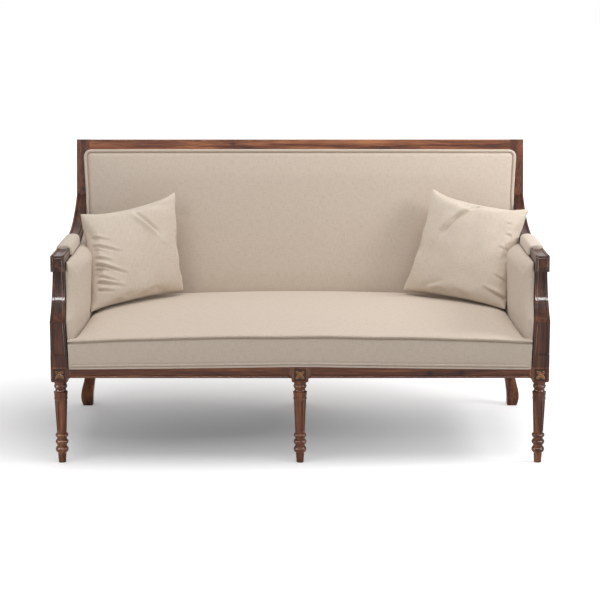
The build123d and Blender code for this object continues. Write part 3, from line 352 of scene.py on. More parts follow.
# %% [markdown]
# ## Cloth as a grid
# A sewn cover is made of panels that were flat before they were pulled over the stuffing, so every
# soft piece starts as a grid of points, row by row. `cloth_piece` joins the points into faces, and
# `swell` runs the cloth simulation: air pressure from inside stands in for stuffing, sewn edges stay
# put and no point moves further than a cap. `finish_soft` lays the UV map in metres, by the way each
# face looks, and puts the piece in the place of its solids.

# %% Grids
def grid_faces(rows, columns, first=0, ring=False):
    """Quads of a grid of points, closed round its columns if it is a ring."""
    faces = []
    for r in range(rows - 1):
        for c in range(columns if ring else columns - 1):
            d = (c + 1) % columns
            a = first + r * columns
            faces.append((a + c, a + d, a + columns + d, a + columns + c))
    return faces


def ladder(ring):
    """Close a ring of points with quads from one side of it to the other."""
    ring = list(ring)
    middle = len(ring) // 2
    quads = [(ring[i], ring[i + 1], ring[-2 - i], ring[-1 - i]) for i in range(middle - 1)]
    return quads + ([tuple(ring[middle - 1 : middle + 2])] if len(ring) % 2 else [])


def grid_rim(rows, columns):
    """Pairs of neighbours round the border of a grid."""
    rim = list(range(columns)) + [r * columns + columns - 1 for r in range(1, rows)]
    rim += [(rows - 1) * columns + c for c in range(columns - 2, -1, -1)]
    rim += [r * columns for r in range(rows - 2, 0, -1)]
    return list(zip(rim, rim[1:] + rim[:1]))


def on_border(r, c, rows, columns):
    return r in (0, rows - 1) or c in (0, columns - 1)


def second_layer(rows, columns):
    """Faces of a second grid that is sewn to the border of the first one."""
    index, count = {}, rows * columns
    for r in range(rows):
        for c in range(columns):
            if on_border(r, c, rows, columns):
                index[r, c] = r * columns + c
            else:
                index[r, c] = count
                count += 1
    places = [(r, c) for r in range(rows - 1) for c in range(columns - 1)]
    return [(index[r, c], index[r + 1, c], index[r + 1, c + 1], index[r, c + 1]) for r, c in places]


print("a grid of 3 by 3 points has", len(grid_faces(3, 3)), "faces")


# %% Cloth helpers
def lay_cloth_map(mesh):
    """UV in metres, from the two axes that each face shows most of."""
    layer = mesh.uv_layers.get("cloth") or mesh.uv_layers.new(name="cloth")
    for face in mesh.polygons:
        n = [abs(v) for v in face.normal]
        across, up = ((1, 2), (0, 2), (0, 1))[n.index(max(n))]
        for loop in face.loop_indices:
            point = mesh.vertices[mesh.loops[loop].vertex_index].co
            layer.data[loop].uv = (point[across], point[up])


def turn_outwards(piece):
    """Make the faces agree, with their fronts on the outside."""
    work = bmesh.new()
    work.from_mesh(piece.data)
    bmesh.ops.recalc_face_normals(work, faces=work.faces)
    if work.calc_volume(signed=True) < 0:
        bmesh.ops.reverse_faces(work, faces=work.faces)
    work.to_mesh(piece.data)
    work.free()


def cloth_piece(name, points, faces, material):
    """A smooth mesh object of one material, in the scene."""
    mesh = bpy.data.meshes.new(name)
    mesh.from_pydata([tuple(p) for p in points], [], faces)
    mesh.validate()
    piece = bpy.data.objects.new(name, mesh)
    scene.collection.objects.link(piece)
    mesh.materials.append(material)
    for face in mesh.polygons:
        face.use_smooth = True
    turn_outwards(piece)
    return piece


def swell(piece, pressure, cap, sewn, frames=14, stiffness=15.0, quality=3):
    """Blow the cover up like stuffing does. Sewn points stay, and no point moves further than the cap."""
    group = piece.vertex_groups.new(name="sewn")
    group.add(sewn, 1.0, "REPLACE")
    cloth = piece.modifiers.new("stuffing", "CLOTH")
    cloth.settings.quality = quality
    cloth.settings.mass = 0.2
    cloth.settings.tension_stiffness = stiffness
    cloth.settings.compression_stiffness = stiffness
    cloth.settings.bending_stiffness = 0.4
    cloth.settings.vertex_group_mass = "sewn"
    cloth.settings.use_pressure = True
    cloth.settings.uniform_pressure_force = pressure
    cloth.settings.effector_weights.gravity = 0
    cloth.point_cache.frame_start = 1
    cloth.point_cache.frame_end = frames
    for step in range(1, frames + 1):
        scene.frame_set(step)
    swollen = piece.evaluated_get(bpy.context.evaluated_depsgraph_get()).data
    moves = [new.co - old.co for new, old in zip(swollen.vertices, piece.data.vertices)]
    piece.modifiers.remove(cloth)
    scene.frame_set(1)
    for point, move in zip(piece.data.vertices, moves):
        if move.length > cap:
            move *= cap / move.length
        point.co += move
    piece.vertex_groups.clear()
    print(piece.name, "swelled by up to", round(max(m.length for m in moves) * 1000, 1), "mm")


def finish_soft(piece, body, replaced, smooth=1):
    """Lay the weave, add one subdivision and put the piece in the place of its solids."""
    lay_cloth_map(piece.data)
    if smooth:
        rounding = piece.modifiers.new("rounding", "SUBSURF")
        rounding.levels = rounding.render_levels = smooth
    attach(piece, body)
    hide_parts(*replaced)
    print(piece.name, len(piece.data.vertices), "points, for", replaced)


print("the swelling is", "simulated")

# %% [markdown]
# ## Seat
# The seat is stitched from a top panel and a front boxing. The section below runs once round it:
# along the bottom, up the slightly bulged boxing, into the dark crevice of the seam, over the soft
# roll of the top panel and back along the crown. Beside the arm pads it is narrower than between the
# front legs, so each point's distance from the middle depends on how far back it lies.

# %% Seat section
seat_front = front_y + 0.003
seat_back_height = 0.446
seat_back = stile_front(seat_back_height) - 0.056 / cos(rake)
seat_under = 0.35
boxing_bulge, crown_rise = 0.0035, 0.017
edge_roll, edge_fade = 0.022, 0.005
pad_front = front_y + 0.013
arm_pad_lean = 0.0443


def arm_pad_reach(back):
    """How far the inner arm pad stands into the seat, at a distance behind its front edge."""
    return 0.012 + 0.1450 * back - 0.1630 * back**2


def support_inner(z):
    """Inner side of the arm support at one height."""
    if z < leg_block_top:
        return leg_inner
    if z < support_ledge:
        return leg_inner + 0.0055 * (z - leg_block_top) / (support_ledge - leg_block_top)
    return leg_inner + 0.0055 + 0.0065 * (z - support_ledge) / (support_head - support_ledge)


def seat_half(y, z):
    """Half width of the seat: between the supports in front, between the arm pads behind."""
    if y < pad_front:
        return support_inner(z) - 0.0006
    return leg_inner - 0.001 - arm_pad_reach(y - pad_front) * min(1.0, (y - pad_front) / 0.008)


def arc_height(y, a, b, c):
    """Height at y of the circle through three (y, z) points."""
    (ax, az), (bx, bz), (cx, cz) = a, b, c
    d = 2 * (ax * (bz - cz) + bx * (cz - az) + cx * (az - bz))
    sa, sb, sc = ax**2 + az**2, bx**2 + bz**2, cx**2 + cz**2
    ux = (sa * (bz - cz) + sb * (cz - az) + sc * (az - bz)) / d
    uz = (sa * (cx - bx) + sb * (ax - cx) + sc * (bx - ax)) / d
    r = sqrt((ax - ux) ** 2 + (az - uz) ** 2)
    return uz + sqrt(max(r**2 - (y - ux) ** 2, 0))


def seat_seam(x):
    """Height of the seam between boxing and top panel, lower towards the ends."""
    share = (x / leg_inner) ** 2
    return 0.407 - 0.016 * share + 0.0018 * noise.noise(Vector((x * 6, 0.3, 0)))


def seat_foot(x):
    """Lower edge of the boxing: level over the middle block, lower towards the ends."""
    return 0.3135 - 0.008 * (max(0.0, abs(x) - 0.06) / 0.66) ** 0.8


def seat_section(x):
    """Points (y, z) once round the seat at one x."""
    share = (x / leg_inner) ** 2
    seam, foot = seat_seam(x), seat_foot(x)
    back_z = seat_back_height - 0.022 * share
    middle = ((seat_front + seat_back) / 2, (seam + back_z) / 2 + crown_rise)
    crown = ((seat_front, seam + 0.002), middle, (seat_back, back_z))
    rail_face = front_y + 0.0077
    section = [(seat_back, seat_under), (-0.1, seat_under), (rail_face, seat_under), (rail_face, foot)]
    section += [(seat_front + 0.002, foot - 0.0005)]
    for i in range(13):
        s = i / 12
        bulge = boxing_bulge * sin(pi * s) ** 0.7
        section.append((seat_front - bulge, foot + 0.002 + s * (seam - 0.006 - foot)))
    # The crevice of the seam, then the lip of the top panel over it
    section += [(seat_front + 0.0035, seam - 0.0024), (seat_front + 0.0105, seam - 0.0008)]
    section += [(seat_front + 0.0035, seam + 0.0014), (seat_front - 0.0038, seam + 0.0032)]
    section += [(seat_front - 0.003, seam + 0.007), (seat_front + 0.0015, seam + 0.0105)]
    for i in range(1, 33):
        y = seat_front + 0.008 + (seat_back - 0.012 - seat_front - 0.008) * (i / 32) ** 1.1
        lift = 0.0085 * exp(-((y - seat_front) / 0.05))
        section.append((y, arc_height(y, *crown) + lift))
    section += [(seat_back - 0.004, back_z - 0.003), (seat_back, back_z - 0.012), (seat_back, 0.39)]
    return section


print("seat from y", round(seat_front, 4), "to", round(seat_back, 4), "and seam at", round(seat_seam(0), 4))

# %% Seat
columns = 105
# Counted along a section: past the first number the top rolls down beside the arms, past the second
# it may swell
roll_point, free_point = 24, 28
seat_points, seat_sewn = [], []
for c in range(columns):
    share = sin((2 * c / (columns - 1) - 1) * pi / 2 * 0.92) / sin(pi / 2 * 0.92)
    section = seat_section(share * leg_inner)
    for i, (y, z) in enumerate(section):
        if not free_point < i < len(section) - 8 or c < 3 or c > columns - 4:
            seat_sewn.append(len(seat_points))
        beside = (1 - abs(share)) * leg_inner
        roll = edge_roll * exp(-beside / edge_fade) if roll_point < i < len(section) - 3 else 0.0
        seat_points.append((share * seat_half(y, z), y, z - roll))
around = len(section)
seat_faces = grid_faces(columns, around, ring=True)
seat_faces += ladder(range(around)) + ladder(range((columns - 1) * around, columns * around))
seat = cloth_piece("seat", seat_points, seat_faces, cover_linen)
swell(seat, 2.5, 0.006, seat_sewn)
finish_soft(seat, "frame", ("seat_cover", "seat_foam"))

# %% [markdown]
# ## Back
# The back pad is one tight panel with rounded top corners. It is a little narrower between the arms
# than above them. Its edge drops into a crevice all round, where the welt is sewn in, and from there
# it rises to a shallow crown. The distance to the nearest edge decides how high each point stands.

# %% Back form
back_half, back_neck, back_low, back_corner = 0.745, 0.7367, 0.722, 0.024
back_head, back_foot = 0.9145, 0.41


def back_half_at(z):
    """Half width of the back pad at one height, between the arms and above them."""
    if z > back_head - back_corner:
        return back_half - back_corner + sqrt(max(back_corner**2 - (z - back_head + back_corner) ** 2, 0))
    if z > join_height:
        return back_neck + (back_half - back_neck) * min((z - join_height) / 0.12, 1.0)
    return back_neck - (back_neck - back_low) * min(max((0.70 - z) / 0.08, 0.0), 1.0)


def back_out(x, z, edge):
    """How far the panel stands out, with its edge rolled into the crevice beside the welt."""
    across = (x / back_half) ** 2
    rise = (z - back_foot) / (back_head - back_foot)
    crown = 0.050 + 0.022 * rise * (1 - rise) - 0.012 * rise - 0.013 * across
    roll = 1 - min(edge / 0.03, 1)
    crevice = exp(-(((edge - 0.0115) / 0.0028) ** 2))
    flat = noise.noise(Vector((x * 3, z * 3, 1.7)))
    dimple = 0.004 * exp(-(((x + 0.403) / 0.012) ** 2) - ((z - 0.69) / 0.006) ** 2)
    return crown - dimple - 0.011 * roll**2.2 - 0.006 * crevice + 0.0012 * flat


def spread(low, high, count, border):
    """Places between two ends, close together within the border at each end."""
    near = [0, 0.003, 0.006, 0.008, 0.0095, 0.0115, 0.0135, 0.016, 0.02, 0.026, border]
    inner = [low + border + (high - low - 2 * border) * i / (count + 1) for i in range(1, count + 1)]
    return [low + n for n in near] + inner + [high - n for n in reversed(near)]


print("back pad", round(2 * back_low, 3), "wide below the arms and", round(2 * back_half, 3), "above them")

# %% Back
back_border, corner_reach = 0.034, 0.05
back_rows = spread(back_foot, back_head, 40, back_border)
back_shares = [x / back_half for x in spread(-back_half, back_half, 84, back_border)]
back_points, back_sewn = [], []
for z in back_rows:
    half = back_half_at(z)
    for share in back_shares:
        x = share * half
        corner_x = max(0.0, abs(x) - back_half + corner_reach)
        corner_z = max(0.0, z - back_head + corner_reach)
        edge = min((1 - abs(share)) * half, back_head - z)
        if corner_x > 0 and corner_z > 0 and z > join_height + 0.03:
            edge = min(edge, max(0.0, corner_reach - sqrt(corner_x**2 + corner_z**2) + 0.010))
        if edge < 0.03 or z < back_foot + 0.02:
            back_sewn.append(len(back_points))
        back_points.append(on_back(x, z, back_out(x, z, edge)))
columns, rows = len(back_shares), len(back_rows)
front_count = len(back_points)
for z in back_rows:
    back_points += [on_back(share * back_half_at(z), z, 0.003) for share in back_shares]
back_sewn += range(front_count, len(back_points))
back_faces = grid_faces(rows, columns) + grid_faces(rows, columns, front_count)
for here, after in grid_rim(rows, columns):
    back_faces.append((here, here + front_count, after + front_count, after))
back = cloth_piece("back", back_points, back_faces, cover_linen)
swell(back, 2.5, 0.006, back_sewn)
finish_soft(back, "frame", ("back_cover", "back_foam"))

# %% [markdown]
# ## Arm pads
# Inside each arm a pad fills the field between support, arm, back and seat. Its front is a soft
# vertical nose right behind the moulded support. One function lays a grid over that field, and the
# pad inside and the panel outside both use it. The left pads are mirror images of the right ones.

# %% Arm field
pad_foot = 0.352


def support_sweep(z, ledge, reach):
    """How far the support has swept back at one height above its ledge."""
    if z <= ledge:
        return 0.0
    rise = support_head - ledge
    radius = (reach**2 + rise**2) / (2 * reach)
    return reach - radius + sqrt(max(radius**2 - (support_head - z) ** 2, 0))


def arm_field(front, ledge, reach, head, drop, rear_gap, rows, columns):
    """Grid of (y, z, distance behind the front, distance below the arm) over one arm's field."""
    def front_at(z):
        return front + support_sweep(min(z, support_head), ledge, reach)

    def rear_at(z):
        return stile_front(z) - rear_gap / cos(rake)

    def head_at(y):
        if y < pad_back_y:
            return head
        return arm_top + arm_sweep - sqrt((arm_sweep + drop) ** 2 - (y - pad_back_y) ** 2)

    grid = []
    for r in range(rows):
        t = 1 - (1 - r / (rows - 1)) ** 1.35
        row = []
        for c in range(columns):
            s = (c / (columns - 1)) ** 1.5
            top_y = front_at(head) + s * (rear_at(0.64) - front_at(head))
            top = head_at(top_y)
            z = pad_foot + t * (top - pad_foot)
            y = front_at(z) + s * (rear_at(z) - front_at(z))
            row.append((y, z, y - front_at(z), top - z))
        grid.append(row)
    return grid


def nose(distance, radius):
    """Quarter-round share: 0 at the edge, 1 from one radius on."""
    return sqrt(1 - (1 - min(max(distance / radius, 0), 1)) ** 2)


def along_arm(y):
    """Share of the arm's length, from behind its moulded end to the stile."""
    return (y - front_y - 0.045) / (stile_front(join_height) - front_y - 0.045)


def arm_outer(y):
    return 0.78 - 0.008 * along_arm(y)


def arm_inner(y):
    return arm_outer(y) - 0.045 + 0.010 * along_arm(y)


print("arm", round(1000 * (arm_outer(0) - arm_inner(0)), 1), "mm wide at half its length")

# %% Inner arm pads
pad_head, pad_rear_gap = 0.634, 0.0555
front_nose, top_nose = 0.026, 0.034


def inner_arm_pad(side, name):
    """Cushion in one arm's field: a face, and a flat layer behind it that is sewn to its border."""
    rows, columns = 44, 52
    drop = arm_top - pad_head
    grid = arm_field(pad_front, support_ledge, support_reach, pad_head, drop, pad_rear_gap, rows, columns)
    points, sewn = [], []
    for layer in (1, 0):
        for r, row in enumerate(grid):
            for c, (y, z, behind, below) in enumerate(row):
                base = leg_inner - 0.0005 + max(0, z - leg_block_top) * arm_pad_lean
                if z > arm_under - 0.006:
                    base = min(base, arm_inner(y) - 0.001)
                face = leg_inner - arm_pad_reach(behind)
                depth = (base - face) * nose(behind + 0.0015, front_nose) * nose(below + 0.001, top_nose)
                on_edge = on_border(r, c, rows, columns)
                if layer == 0 and on_edge:
                    continue
                if layer == 0 or on_edge or z < 0.43:
                    sewn.append(len(points))
                points.append((side * (base - depth * layer), y, z))
    pad = cloth_piece(name, points, grid_faces(rows, columns) + second_layer(rows, columns), cover_linen)
    swell(pad, 1.5, 0.002, sewn)
    return pad


for side, word in sides:
    pad = inner_arm_pad(side, f"arm_pad_{word}")
    finish_soft(pad, "frame", (f"arm_inner_pad_{word}",))

# %% [markdown]
# ## Arm top pads
# A small pad lies on top of each arm, where a hand rests. Its cloth is tacked along the arm's outer
# edge, runs over the stuffing and ends in a short flap on the inner side. It needs no simulation: a
# section that changes along the arm, with rounded ends and a faint ripple, gives the same form.

# %% Arm top pads
cap_start, cap_length = front_y + 0.190 + 0.0005, 0.239


def arm_top_pad(side, name):
    """Pad on one arm, as a row of sections from front to back."""
    rows = 41
    points = []
    for r in range(rows):
        s = r / (rows - 1)
        y = cap_start + s * cap_length
        end = nose(min(s, 1 - s) * cap_length, 0.022)
        outer, inner = arm_outer(y), arm_inner(y)
        fold = 0.0006 * sin(s * 2 * pi * 6)
        top = 0.003 + 0.0085 * (0.45 + 0.55 * end) + fold
        out = 0.0012 * end
        section = [(outer - 0.001, 0.6545), (outer + out, 0.658), (outer + out, 0.6615)]
        for i in range(9):
            a = i / 8
            dome = top * sin(pi * (0.12 + 0.76 * a)) ** 0.6
            section.append((outer - 0.002 - a * (outer - inner), 0.661 + dome))
        flap = 0.0045 + 0.001 * end
        section += [(inner - flap, 0.6595), (inner - flap - 0.001, 0.650), (inner - flap - 0.002, 0.641)]
        section += [(inner - flap - 0.001, 0.636), (inner - 0.002, 0.635)]
        section += [(inner - 0.0005, 0.638), (inner - 0.0005, 0.645), (inner + 0.002, 0.6545)]
        points += [(side * x, y, z) for x, z in section]
    around = len(section)
    faces = grid_faces(rows, around, ring=True)
    faces += ladder(range(around)) + ladder(range((rows - 1) * around, rows * around))
    return cloth_piece(name, points, faces, cover_linen)


for side, word in sides:
    finish_soft(arm_top_pad(side, f"arm_cap_{word}"), "frame", (f"arm_top_pad_{word}",))

# %% [markdown]
# ## Outside panels
# The outside of the back and of each arm is linen pulled flat over the frame. It is never quite
# flat: the middle stands out by a few millimetres. Each panel is a thin slab between two grids, and a
# sine in both directions gives the belly.

# %% Outside panels
def slab(name, front, behind, material):
    """Closed slab between two grids of the same size."""
    rows, columns = len(front), len(front[0])
    points = [p for row in front for p in row] + [p for row in behind for p in row]
    half = rows * columns
    faces = grid_faces(rows, columns) + [tuple(reversed(f)) for f in grid_faces(rows, columns, half)]
    for a, b in grid_rim(rows, columns):
        faces.append((b, a, a + half, b + half))
    return cloth_piece(name, points, faces, material)


def belly(s, t, height, power):
    """Height of a panel's middle over its edges, at the shares s across it and t along it."""
    return height * (sin(pi * s) * sin(pi * t)) ** power


def panel_grid(place, rows=25, columns=61):
    """Grid of what place gives at the shares across and up a panel."""
    return [[place(c / (columns - 1), r / (rows - 1)) for c in range(columns)] for r in range(rows)]


def back_panel_point(s, t, out):
    low, high, half = 0.3505, 0.8935, 0.7245
    return on_back((2 * s - 1) * half, low + t * (high - low), out)


outer = panel_grid(lambda s, t: back_panel_point(s, t, -0.0275 - belly(s, t, 0.004, 0.5)))
inner = panel_grid(lambda s, t: back_panel_point(s, t, -0.0245))
outside_back = slab("outside_back", outer, inner, cover_linen)
finish_soft(outside_back, "frame", ("back_outside_panel",), smooth=0)


def outside_arm(side, name):
    """Panel over one arm's field, let down a little so that it clears the arm."""
    rows, columns = 30, 40
    grid = arm_field(front_y + 0.0535, support_ledge - 0.012, 0.055, 0.6175, 0.0425, 0.0006, rows, columns)
    outer, inner = [], []
    for r, row in enumerate(grid):
        places = [(y, max(z - 0.0055, 0.3465)) for y, z, _, _ in row]
        out = [belly(c / (columns - 1), r / (rows - 1), 0.003, 0.5) for c in range(columns)]
        outer.append([(side * (0.7655 + o), y, z) for o, (y, z) in zip(out, places)])
        inner.append([(side * 0.7625, y, z) for y, z in places])
    return slab(name, outer, inner, cover_linen)


for side, word in sides:
    panel = outside_arm(side, f"outside_arm_{word}")
    finish_soft(panel, "frame", (f"arm_outside_panel_{word}",), smooth=0)

# %% [markdown]
# ## Dust cloth
# Under the seat a thin black cloth, tacked to the rails, keeps the dust in. It is stretched, but sags
# a little between the rails under its own weight. Its place comes from the solid that it replaces.

# %% Dust cloth
low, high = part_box("dust_cover")
dust_wide, dust_deep = high.x - low.x - 0.06, high.y - low.y - 0.05


def dust_point(s, t, z):
    return (low.x + 0.03 + s * dust_wide, low.y + 0.045 + t * dust_deep, z - belly(s, t, 0.006, 0.6))


dust_low = panel_grid(lambda s, t: dust_point(s, t, low.z + 0.0002))
dust_high = panel_grid(lambda s, t: dust_point(s, t, high.z - 0.0002))
dust = slab("dust_sheet", dust_high, dust_low, dust_cloth)
lay_cloth_map(dust.data)
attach(dust, "frame")
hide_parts("dust_cover")
print("dust cloth", round(dust_wide, 3), "by", round(dust_deep, 3))

# %% [markdown]
# ## Pillows
# Each pillow is two square pieces of linen sewn together on all four sides, with a knife edge and no
# welt. The simulation starts from a low dome on both sides, with the seams drawn in a little, and
# blows it up as filling does. The result is then laid between the four corners where the pillow leans
# in its corner of the sofa.

# %% Pillow form
pillow_steps, pillow_half, pillow_dome = 61, 0.19, 0.044


def blown_pillow(name, seed):
    """A blown-up pillow that lies flat, across along X, up along Y and out along Z."""
    n, half = pillow_steps, pillow_half
    points = []
    for layer in (1, -1):
        for r in range(n):
            for c in range(n):
                a, b = 2 * c / (n - 1) - 1, 2 * r / (n - 1) - 1
                on_edge = on_border(r, c, n, n)
                if layer < 0 and on_edge:
                    continue
                dome = max(0.0, (1 - a * a) * (1 - b * b)) ** 0.48
                ripple = 0.003 * noise.noise(Vector((a * 3, b * 3, seed + layer)))
                across = a * half * (1 - 0.03 * (1 - b * b))
                up = b * half * (1 - (0.07 if b > 0 else 0.005) * (1 - a * a))
                points.append((across, up, layer * (pillow_dome * dome + 0.001) * (not on_edge) + ripple))
    pillow = cloth_piece(name, points, grid_faces(n, n) + second_layer(n, n), pillow_linen)
    swell(pillow, 3.0, 0.014, [], frames=16, stiffness=30.0, quality=4)
    return pillow


def lay_pillow(pillow, corners, facing, thickness):
    """Lay the blown form between four corners (lower left, lower right, upper right, upper left)."""
    n = pillow_steps
    found = [pillow.data.vertices[i].co.copy() for i in (0, n - 1, n * n - 1, n * (n - 1))]
    reach_x = sum(abs(p.x) for p in found) / 4
    reach_y = sum(abs(p.y) for p in found) / 4
    deep = max(abs(v.co.z) for v in pillow.data.vertices)
    for vertex in pillow.data.vertices:
        a, b = vertex.co.x / reach_x, vertex.co.y / reach_y
        left = corners[0].lerp(corners[3], (b + 1) / 2)
        right = corners[1].lerp(corners[2], (b + 1) / 2)
        vertex.co = left.lerp(right, (a + 1) / 2) + facing * (vertex.co.z / deep * thickness / 2)
    print(pillow.name, "blown depth", round(deep * 2000), "mm, laid", round(thickness * 1000), "mm thick")


print("pillow cut", round(2 * pillow_half, 2), "m square, in", pillow_steps, "by", pillow_steps, "points")

# %% [markdown]
# ## Creases
# Where a pillow is pressed into its corner, the linen gathers in short creases along the seam, and a
# few long folds run in from the top edge. Simulation can't be told where they go, so each is drawn as
# a line on the pillow's face: a valley with a soft ridge on one side of it, which fades towards its
# end.

# %% Creases
def keep_rounded(piece):
    """Apply one subdivision, so that fine folds have points to move."""
    rounding = piece.modifiers.new("rounding", "SUBSURF")
    rounding.levels = rounding.render_levels = 1
    piece.data = bpy.data.meshes.new_from_object(piece.evaluated_get(bpy.context.evaluated_depsgraph_get()))
    piece.modifiers.clear()


def crease_pillow(pillow, corners, facing, folds):
    """Move the points on the pillow's face by all of its folds."""
    centre = sum(corners, Vector()) / 4
    across = (corners[1] + corners[2] - corners[0] - corners[3]) / 4
    up = (corners[2] + corners[3] - corners[0] - corners[1]) / 4
    for vertex in pillow.data.vertices:
        away = vertex.co - centre
        a, b = away.dot(across) / across.length_squared, away.dot(up) / up.length_squared
        if away.dot(facing) > 0.002:
            vertex.co += facing * sum(fold(a, b) for fold in folds)


def fold_line(start, end, depth, width, from_seam=False, ridge_side=1):
    """A crease from start to end on the pillow's face, with a soft ridge along one side of it."""
    a0, run = Vector(start), Vector(end) - Vector(start)
    beside = Vector((run.y, -run.x)).normalized()

    def fold(a, b):
        place = Vector((a, b)) - a0
        share = min(max(place.dot(run) / run.length_squared, 0.0), 1.0)
        away = (place - run * share).length
        if away > 4 * width:
            return 0.0
        fade = (1 - share) ** 0.8 if from_seam else sin(pi * min(max(share, 0.02), 0.98)) ** 0.6
        ridge = exp(-(((ridge_side * beside.dot(place) - 1.3 * width) / width) ** 2))
        return fade * depth * (0.8 * ridge - exp(-((away / (0.7 * width)) ** 2)))

    return fold


def puckers(side, creases):
    """Creases in from the seam on one side, each as (height, length, slope, depth)."""
    seam, width = 0.98, 0.036
    return [
        fold_line((side * seam, b), (side * (seam - length), b + slope), 1.6 * depth, width, True, side)
        for b, length, slope, depth in creases
    ]


left_seam_creases = (
    (0.50, 0.30, -0.04, 0.003), (0.33, 0.50, -0.16, 0.005), (0.16, 0.62, -0.22, 0.006),
    (0.06, 0.34, -0.10, 0.004), (-0.10, 0.40, -0.14, 0.006), (-0.25, 0.62, -0.24, 0.007),
    (-0.36, 0.34, -0.08, 0.005), (-0.50, 0.42, -0.16, 0.004), (-0.64, 0.50, -0.10, 0.006),
    (-0.80, 0.30, -0.03, 0.004),
)
right_seam_creases = (
    (0.72, 0.30, -0.16, 0.006), (0.55, 0.20, -0.10, 0.005), (0.40, 0.26, -0.04, 0.006),
    (0.25, 0.16, -0.05, 0.005), (0.08, 0.32, 0.03, 0.005), (-0.20, 0.18, 0.05, 0.004),
    (-0.50, 0.28, 0.10, 0.005), (-0.78, 0.42, 0.10, 0.008),
)
pillow_folds = {
    "left": [
        fold_line((0.12, 0.78), (0.46, 0.34), 0.010, 0.06),
        fold_line((0.86, 0.93), (-0.2, 0.84), 0.007, 0.09),
        fold_line((0.9, -0.5), (0.86, -0.86), 0.004, 0.05),
    ]
    + puckers(-1, left_seam_creases),
    "right": [
        fold_line((0.08, 0.86), (-0.29, 0.44), 0.010, 0.05),
        fold_line((-0.22, 0.56), (-0.42, 0.16), 0.009, 0.06),
        fold_line((-0.6, -0.86), (-0.2, -0.7), 0.004, 0.06),
    ]
    + puckers(1, right_seam_creases),
}
print("folds", {word: len(folds) for word, folds in pillow_folds.items()})


# %% Pillows
def from_front(x, y, z):
    """Point from millimetres, with y counted from the front of the legs."""
    return Vector((x / 1000, front_y + y / 1000, z / 1000))


# Lower left, lower right, upper right and upper left
corner_places = {
    "left": ((-684, 285, 430), (-396, 555, 452), (-423, 612, 786), (-731, 440, 734)),
    "right": ((348, 552, 452), (676, 330, 430), (768, 474, 747), (450, 617, 797)),
}
pillow_thickness = 0.112
for number, (word, places) in enumerate(corner_places.items()):
    corners = [from_front(*place) for place in places]
    pillow = blown_pillow(f"pillow_{word}_soft", 3.1 + 5 * number)
    facing = (corners[1] - corners[0]).cross(corners[3] - corners[0]).normalized()
    lay_pillow(pillow, corners, facing, pillow_thickness)
    keep_rounded(pillow)
    crease_pillow(pillow, corners, facing, pillow_folds[word])
    replaced = (f"pillow_cover_{word}", f"pillow_filling_{word}")
    finish_soft(pillow, f"pillow_{word}", replaced, smooth=0)

# %% [markdown]
# ## Welts by Geometry Nodes
# A welt is a cord sewn into a strip of the cover's own linen, laid along a seam. One node tree makes
# all of them from a path: it resamples the path, sweeps a circle along it, and sets a row of small
# stitches beside it. Radius, stitch length and spacing are inputs with names. The thread is linen
# too, dull and close to the cover in colour.

# %% Welt tree
def welt_tree():
    """Cord and stitches along a path of edges."""
    tree = bpy.data.node_groups.new("welt_along_a_path", "GeometryNodeTree")
    for name, kind, value in (
        ("Path", "NodeSocketGeometry", None),
        ("Cord Radius", "NodeSocketFloat", 0.004),
        ("Stitch Spacing", "NodeSocketFloat", 0.009),
        ("Stitch Length", "NodeSocketFloat", 0.005),
        ("Stitch Offset", "NodeSocketVector", (0, 0, 0)),
        ("Cord Linen", "NodeSocketMaterial", None),
        ("Thread", "NodeSocketMaterial", None),
    ):
        socket = tree.interface.new_socket(name, in_out="INPUT", socket_type=kind)
        if value is not None:
            socket.default_value = value
    tree.interface.new_socket("Welt", in_out="OUTPUT", socket_type="NodeSocketGeometry")
    given = add_node(tree, "NodeGroupInput").outputs
    curve = add_node(tree, "GeometryNodeMeshToCurve", links={"Mesh": given["Path"]})
    steps = {"mode": "LENGTH", "Length": 0.006}
    even = add_node(tree, "GeometryNodeResampleCurve", steps, {"Curve": curve.outputs[0]})
    round_wire = add_node(
        tree, "GeometryNodeCurvePrimitiveCircle", {"Resolution": 10}, {"Radius": given["Cord Radius"]}
    )
    cord = add_node(
        tree,
        "GeometryNodeCurveToMesh",
        {"Fill Caps": True},
        {"Curve": even.outputs[0], "Profile Curve": round_wire.outputs[0]},
    )
    smooth = add_node(tree, "GeometryNodeSetShadeSmooth", links={"Geometry": cord.outputs[0]})
    clothed = add_node(
        tree,
        "GeometryNodeSetMaterial",
        links={"Geometry": smooth.outputs[0], "Material": given["Cord Linen"]},
    )
    spots = add_node(
        tree,
        "GeometryNodeCurveToPoints",
        {"mode": "LENGTH"},
        {"Curve": curve.outputs[0], "Length": given["Stitch Spacing"]},
    )
    moved = add_node(
        tree,
        "GeometryNodeSetPosition",
        links={"Geometry": spots.outputs["Points"], "Offset": given["Stitch Offset"]},
    )
    stitch = add_node(tree, "GeometryNodeMeshUVSphere", {"Segments": 6, "Rings": 4, "Radius": 0.5})
    size = add_node(
        tree, "ShaderNodeCombineXYZ", {"X": 0.0011, "Y": 0.0011}, {"Z": given["Stitch Length"]}
    )
    rows = add_node(
        tree,
        "GeometryNodeInstanceOnPoints",
        links={
            "Points": moved.outputs[0],
            "Instance": stitch.outputs[0],
            "Rotation": spots.outputs["Rotation"],
            "Scale": size.outputs[0],
        },
    )
    real = add_node(tree, "GeometryNodeRealizeInstances", links={"Geometry": rows.outputs[0]})
    threaded = add_node(
        tree, "GeometryNodeSetMaterial", links={"Geometry": real.outputs[0], "Material": given["Thread"]}
    )
    both = add_node(tree, "GeometryNodeJoinGeometry")
    tree.links.new(threaded.outputs[0], both.inputs[0])
    tree.links.new(clothed.outputs[0], both.inputs[0])
    result = add_node(tree, "NodeGroupOutput")
    tree.links.new(both.outputs[0], result.inputs["Welt"])
    return tree


